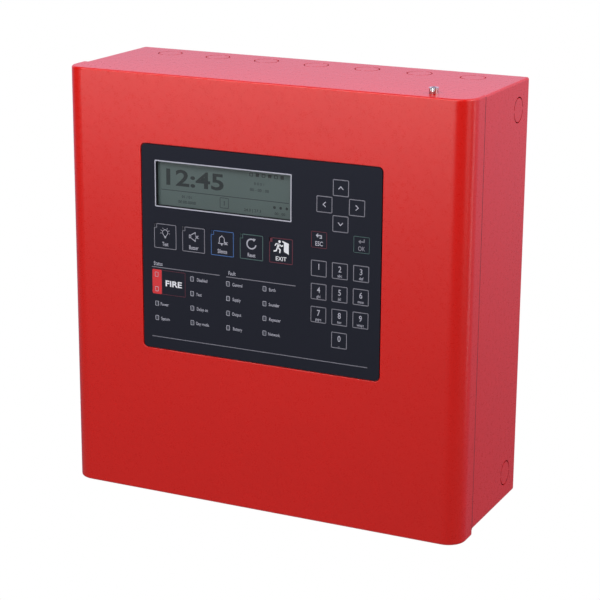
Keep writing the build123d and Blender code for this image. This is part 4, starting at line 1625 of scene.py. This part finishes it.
@dataclass
class PowerDetail:
    """Screws, walls and labels of the power supply, mains block and batteries."""

    body: str = "cabinet"
    strip_y: float = -21.2      # front of the supply's terminal strip
    strip_first: float = 9.0    # first terminal from the chassis' left end
    strip_step: float = 9.9
    strip_ways: int = 9
    mains_first: float = 6.0    # first mains terminal from the block's left end
    mains_step: float = 9.6

    def supply(self) -> None:
        """Terminal screws with the walls between them, and cover screws."""
        chassis, cover = Span.of("psu_chassis"), Span.of("psu_cover")
        left, low, y = chassis.low.x, chassis.low.z, self.strip_y
        columns = spaced(left + self.strip_first, self.strip_step, self.strip_ways)
        points = [(x, y, low + 10) for x in columns]
        screw = Pattern.slotted_screw(2.9, 0.9)
        Repeat.lay("supply_terminal_screws", screw, points, Stock.ZINC, self.body, "zinc_steel", 0.8, 31)
        walls = Form()
        for x in spaced(left + 4.05, self.strip_step, self.strip_ways + 1):
            walls.block((x - 0.6, y - 3.2, low + 3.4), (x + 0.6, y + 0.3, low + 16.6), 0.2)
        walls.piece("supply_terminal_walls", Stock.EPOXY_BLACK, self.body, "black_plastic")
        corners = [
            (x, cover.low.y, z)
            for z in (cover.high.z - 6, cover.low.z + 5) for x in (left + 6, chassis.high.x - 6)
        ]
        screw = Pattern.pan_screw(2.6, 1.3)
        Repeat.lay("supply_cover_screws", screw, corners, Stock.ZINC, self.body, "zinc_steel", 0.5, 33)

    def mains(self) -> None:
        """Slotted screws down the mains block's bores, and its line, neutral and earth marks."""
        block = Span.of("mains_terminal_block")
        columns = spaced(block.low.x + self.mains_first, self.mains_step, 6)
        points = [(x, block.low.y + 8.4, block.centre.z) for x in columns]
        screw = Pattern.slotted_screw(2.2, 0.8)
        Repeat.lay("mains_screws", screw, points, Stock.BRASS, self.body, "brass_plain", 0.7, 37)
        ink = Ink(block.low.y)
        for x, mark in zip(columns, "LLNNEE"):
            ink.words(mark, (x, block.centre.z - 5.1), 2.2, 0.02)
        ink.piece("mains_marks", Stock.EPOXY_BLACK, self.body, "white_polyamide")

    def batteries(self) -> None:
        """Labels and terminal collars of the two batteries."""
        for name in ("battery_left", "battery_right"):
            box = Span.of(name)
            middle, z = box.centre.x, box.low.z + 66
            label, marks = Ink(box.low.y), Ink(box.low.y - 0.04)
            label.fill(rounded_box((middle, z), 96, 24, 1.5))
            label.piece(f"{name}_label", Stock.LABEL_PAPER, self.body, "battery_abs")
            marks.words("12V 7Ah", (middle - 14, z + 3.4), 8.0, 0.02)
            marks.words("+", (middle + 34, z + 2.0), 10.0, 0.03)
            marks.bar((middle - 10, z - 5.2), 60, 0.7)
            marks.bar((middle - 14, z - 7.6), 52, 0.7)
            marks.piece(f"{name}_label_marks", Stock.EPOXY_BLACK, self.body, "battery_abs")
            collars = Form()
            front, top = box.low.y, box.high.z
            for side in (-1, 1):
                x = middle + side * (box.size.x / 2 - 12)
                collars.block((x - 5.5, front + 9, top - 0.02), (x + 5.5, front + 24, top + 0.9), 0.3)
            collars.piece(f"{name}_terminal_collars", Stock.LABEL_RED, self.body, "battery_abs")

    def build(self) -> None:
        """Makes the power side's fine parts."""
        self.supply()
        self.mains()
        self.batteries()


@dataclass
class DoorDetail:
    """Rear of the display board, and a black strip in the door's seam that is painted shade for the seam's
    shadow.
    """

    body: str = "door"
    socket: Point = (-20.0, -20.0)      # ribbon socket's centre
    post_pitch: float = 2.54
    key_feet: Point = (2.5, 3.25)       # a key switch's feet from its centre
    lamp_leg: float = 1.27              # a lamp's legs from its centre
    board: Span = field(init=False)

    def __post_init__(self) -> None:
        """Reads the display board's place."""
        self.board = Span.of("display_board")

    @property
    def face(self) -> float:
        """Y of the board's rear face, which looks into the cabinet."""
        return self.board.high.y

    def chips(self) -> None:
        """Four chips, and the leads of the three flat ones."""
        face = self.face
        bodies, lead, points = Form(), Form(), []
        for x, z, width, height, rise in (
            (20, 40, 14, 14, 1.4), (-40, 20, 10, 8, 1.6), (60, 0, 8, 6, 1.6), (-70, 60, 18, 7.4, 2.2),
        ):
            low = (x - width / 2, face - 0.1, z - height / 2)
            bodies.block(low, (x + width / 2, face + rise, z + height / 2), 0.15)
        bodies.piece("display_rear_chips", Stock.EPOXY_BLACK, self.body, "black_plastic")
        lead.block((-1.0, -0.1, -0.2), (1.0, 0.3, 0.2))
        for x, z, half, count, step in (
            (20, 40, 7.2, 12, 1.0), (-40, 20, 5.2, 6, 1.27), (60, 0, 4.2, 4, 1.27),
        ):
            for i in range(count):
                lift = z + (i - (count - 1) / 2) * step
                points += [(x + side * half, face, lift) for side in (-1, 1)]
        Repeat.lay("display_rear_leads", lead, points, Stock.TIN, self.body, "tinned_metal")

    def small_parts(self) -> None:
        """Surface-mount parts strewn on a fine grid."""
        small, tan = Form(), Form()
        small.block((-0.8, -0.02, -0.45), (0.8, 0.5, 0.45))
        tan.block((-0.8, -0.02, -0.5), (0.8, 0.8, 0.5))
        draw = random.Random(41)
        spots = [
            (-110 + 2.6 * draw.randrange(84), self.face, -50 + 2.2 * draw.randrange(80))
            for _ in range(150)
        ]
        for name, form, chosen, finish in (
            ("resistors", small, spots[::2], Stock.EPOXY_BLACK),
            ("ceramics", tan, spots[1::2], Stock.CERAMIC_TAN),
        ):
            Repeat.lay(f"display_rear_{name}", form, chosen, finish, self.body, "green_board")

    def ribbon_socket(self) -> None:
        """Open socket with two rows of posts."""
        face, (x, z) = self.face, self.socket
        form, pin = Form(), Form()
        outer, inner = rounded_box(self.socket, 34, 9, 0.6), rounded_box(self.socket, 31.4, 6.4, 0.4)
        form.ring(outer, inner, (face, face + 8.5))
        form.prism(rounded_box(self.socket, 33, 8, 0.6), (face - 0.05, face + 1.2))
        form.piece("display_ribbon_socket", Stock.EPOXY_BLACK, self.body, "black_plastic")
        half = self.post_pitch / 2
        posts = [
            (x + (i - 4.5) * self.post_pitch, face + 7.4, z + side * half)
            for i in range(10) for side in (-1, 1)
        ]
        pin.block((-0.32, -6.6, -0.32), (0.32, 0, 0.32), 0.12)
        Repeat.lay("display_ribbon_posts", pin, posts, Stock.GOLD, self.body, "tinned_metal")

    def joints(self) -> None:
        """Soldered joints behind every key switch and lamp."""
        joint = Form()
        joint.lathe([(0, -0.02), (0.8, -0.02), (0.35, 0.7), (0, 0.9)], (0, 0), 8)
        foot_x, foot_z = self.key_feet
        points = []
        for name in frame["nodes"]:
            if name.startswith("key_"):
                centre = Span.of(name).centre
                points += [
                    (centre.x + i * foot_x, self.face, centre.z + k * foot_z)
                    for i in (-1, 1) for k in (-1, 1)
                ]
        lamps = Span.of("status_leds")
        for column in range(4):
            for row in range(4):
                x = lamps.low.x + 2 + column * (lamps.size.x - 4) / 3
                z = lamps.low.z + 2 + row * (lamps.size.z - 4) / 3
                points += [(x + side * self.lamp_leg, self.face, z) for side in (-1, 1)]
        Repeat.lay("display_solder_joints", joint, points, Stock.TIN, self.body, "tinned_metal")

    def seal(self) -> None:
        """Black foam strip in the seam on the three unhinged sides, bulging a little at the right; painted
        shade that stands for the shadow in the seam.
        """
        box, door = Span.of("back_box"), Span.of("door_shell")
        inset, thick, hinge_clear, bulge, wrap = 0.7, 2.0, 20.0, 0.4, 0.5
        front, back = door.high.y + 0.08, box.low.y - 0.02
        left, right = box.low.x + hinge_clear, box.high.x - inset
        top, bottom = box.high.z - inset, box.low.z + inset
        # painted shade: a black strip set in the seam where there is only the gap's shadow
        strip = Form()
        strip.block((right - thick, front, bottom), (box.high.x + bulge, back + wrap, top), 0.1)
        for low in (bottom, top - thick):
            strip.block((left, front, low), (right - thick - 0.1, back, low + thick), 0.1)
        strip.piece("seam_seal", Stock.FOAM, "cabinet", "black_plastic")

    def build(self) -> None:
        """Makes the door's hidden fine parts and the black strip that paints the seam's shadow."""
        self.chips()
        self.small_parts()
        self.ribbon_socket()
        self.joints()
        self.seal()


# ---------------------------------------------------------------- studio
@dataclass(frozen=True)
class SoftBox:
    """One rectangular soft light, in metres."""

    name: str
    place: tuple[float, float, float]
    aim: tuple[float, float, float]
    size: Point
    power: float

    def build(self) -> None:
        """Adds the lamp."""
        data = bpy.data.lights.new(self.name, "AREA")
        data.shape = "RECTANGLE"
        data.size, data.size_y = self.size
        data.energy = self.power
        item = bpy.data.objects.new(self.name, data)
        toward = Vector(self.aim) - Vector(self.place)
        turn = toward.to_track_quat("-Z", "Y").to_matrix().to_4x4()
        item.matrix_world = Matrix.Translation(self.place) @ turn
        bpy.context.scene.collection.objects.link(item)


BOXES: tuple[SoftBox, ...] = (
    SoftBox("key_near", (-0.1, -0.75, 0.85), (0.0, -0.14, 0.1), (1.3, 0.5), 10.7),
    SoftBox("front_panel", (-1.0, -2.4, 0.1), (-1.0, 0.0, 0.1), (2.2, 0.6), 20.2),
    SoftBox("right_box", (1.9, -0.55, 0.35), (0.19, -0.12, 0.0), (0.8, 1.4), 4.5),
    SoftBox("right_edge", (1.5, 0.45, 0.1), (0.19, -0.1, 0.0), (0.25, 1.2), 1.8),
    SoftBox("right_top", (1.3, 0.0, 0.95), (0.19, -0.1, 0.0), (1.0, 0.6), 9.7),
)


@dataclass
class Studio:
    """Pale table top, soft lights, shaded surroundings and the camera; lengths are in metres."""

    eye: tuple[float, float, float] = (0.7288, -1.5860, 0.4602)
    yaw: float = -25.482            # degrees, from straight at the wall
    pitch: float = -15.838
    roll: float = 0.38
    lens: float = 115.475           # millimetres, for the film width below
    film: float = 36.0
    floor_z: float = -0.62
    floor_radius: float = 0.5
    back_tint: str = "#F0E0FF"
    front_tint: str = "#FFFFFF"
    back_ramp: Point = (-0.1, 0.5)      # heading's Y where front turns to back
    height_ramp: Point = (-0.38, 0.02)  # heading's Z where low turns to high
    back: Point = (0.27, 0.95)          # low and high level
    front: Point = (0.29, 0.00)

    def camera(self) -> None:
        """Sets the camera."""
        data = bpy.data.cameras.new("camera")
        data.lens, data.sensor_width = self.lens, self.film
        data.clip_start, data.clip_end = 0.05, 60
        item = bpy.data.objects.new("camera", data)
        yaw, pitch = math.radians(self.yaw), math.radians(self.pitch)
        ahead = Vector((math.cos(pitch) * math.sin(yaw), math.cos(pitch) * math.cos(yaw), math.sin(pitch)))
        turn = ahead.to_track_quat("-Z", "Y").to_matrix().to_4x4()
        tilt = Matrix.Rotation(math.radians(self.roll), 4, "Z")
        item.matrix_world = Matrix.Translation(self.eye) @ turn @ tilt
        bpy.context.scene.collection.objects.link(item)
        bpy.context.scene.camera = item

    def floor(self) -> None:
        """Small pale table top below the panel, shown as plain white."""
        bpy.ops.mesh.primitive_cylinder_add(
            vertices=64, radius=self.floor_radius, depth=0.02, location=(0, 0, self.floor_z - 0.01)
        )
        floor = bpy.context.object
        floor.name = "studio_floor"
        material = Finish("studio_floor", "#E4E4E4", roughness=0.9, mottle=0.0).make()
        tree = material.node_tree
        seen = add_node(tree, "ShaderNodeLightPath").outputs["Is Camera Ray"]
        white = add_node(tree, "ShaderNodeEmission", {"Color": (1.0, 1.0, 1.0, 1.0), "Strength": 1.0})
        shader, end = tree.nodes["Principled BSDF"], tree.nodes["Material Output"]
        mix = add_node(tree, "ShaderNodeMixShader", {0: seen, 1: shader.outputs[0], 2: white.outputs[0]})
        tree.links.new(mix.outputs[0], end.inputs["Surface"])
        floor.data.materials.append(material)

    def world(self) -> None:
        """Surroundings given by four levels: front and back, each low and high."""
        world = bpy.data.worlds.new("studio")
        world.use_nodes = True
        tree = world.node_tree
        heading = add_node(tree, "ShaderNodeTexCoord").outputs["Generated"]
        parts = add_node(tree, "ShaderNodeSeparateXYZ", {0: heading})
        ramps = {}
        for axis, (low, high) in (("Y", self.back_ramp), ("Z", self.height_ramp)):
            ramps[axis] = add_node(
                tree, "ShaderNodeMapRange",
                {"Value": parts.outputs[axis], "From Min": low, "From Max": high},
                interpolation_type="SMOOTHSTEP",
            ).outputs[0]
        sides = []
        for name, tint, levels in (
            ("front", self.front_tint, self.front), ("back", self.back_tint, self.back),
        ):
            mix = add_node(tree, "ShaderNodeMix", {0: ramps["Z"]}, data_type="RGBA", name=name)
            for slot, level in zip("AB", levels):
                mix.inputs[slot].default_value = tuple(c * level for c in linear(tint)[:3]) + (1.0,)
            sides.append(mix.outputs["Result"])
        whole = add_node(
            tree, "ShaderNodeMix", {0: ramps["Y"], "A": sides[0], "B": sides[1]}, data_type="RGBA"
        )
        seen = add_node(tree, "ShaderNodeLightPath").outputs["Is Camera Ray"]
        shown = add_node(tree, "ShaderNodeMix", {0: seen, "A": whole.outputs["Result"]}, data_type="RGBA")
        shown.inputs["B"].default_value = (1.0, 1.0, 1.0, 1.0)
        tree.links.new(shown.outputs["Result"], tree.nodes["Background"].inputs["Color"])
        bpy.context.scene.world = world

    def build(self) -> None:
        """Sets camera, floor, lights and surroundings."""
        self.camera()
        self.floor()
        self.world()
        for box in BOXES:
            box.build()
        bpy.context.scene.view_settings.view_transform = "Standard"


def main() -> None:
    """Builds the panel's looks in order."""
    logging.basicConfig(level=logging.INFO, format="%(name)s: %(message)s")
    dress_nodes()
    FasciaPrint().build()
    KeyPrint().build()
    Screen().build()
    MainBoardDetail().build()
    PowerDetail().build()
    DoorDetail().build()
    Studio().build()


if __name__ == "__main__":
    main()
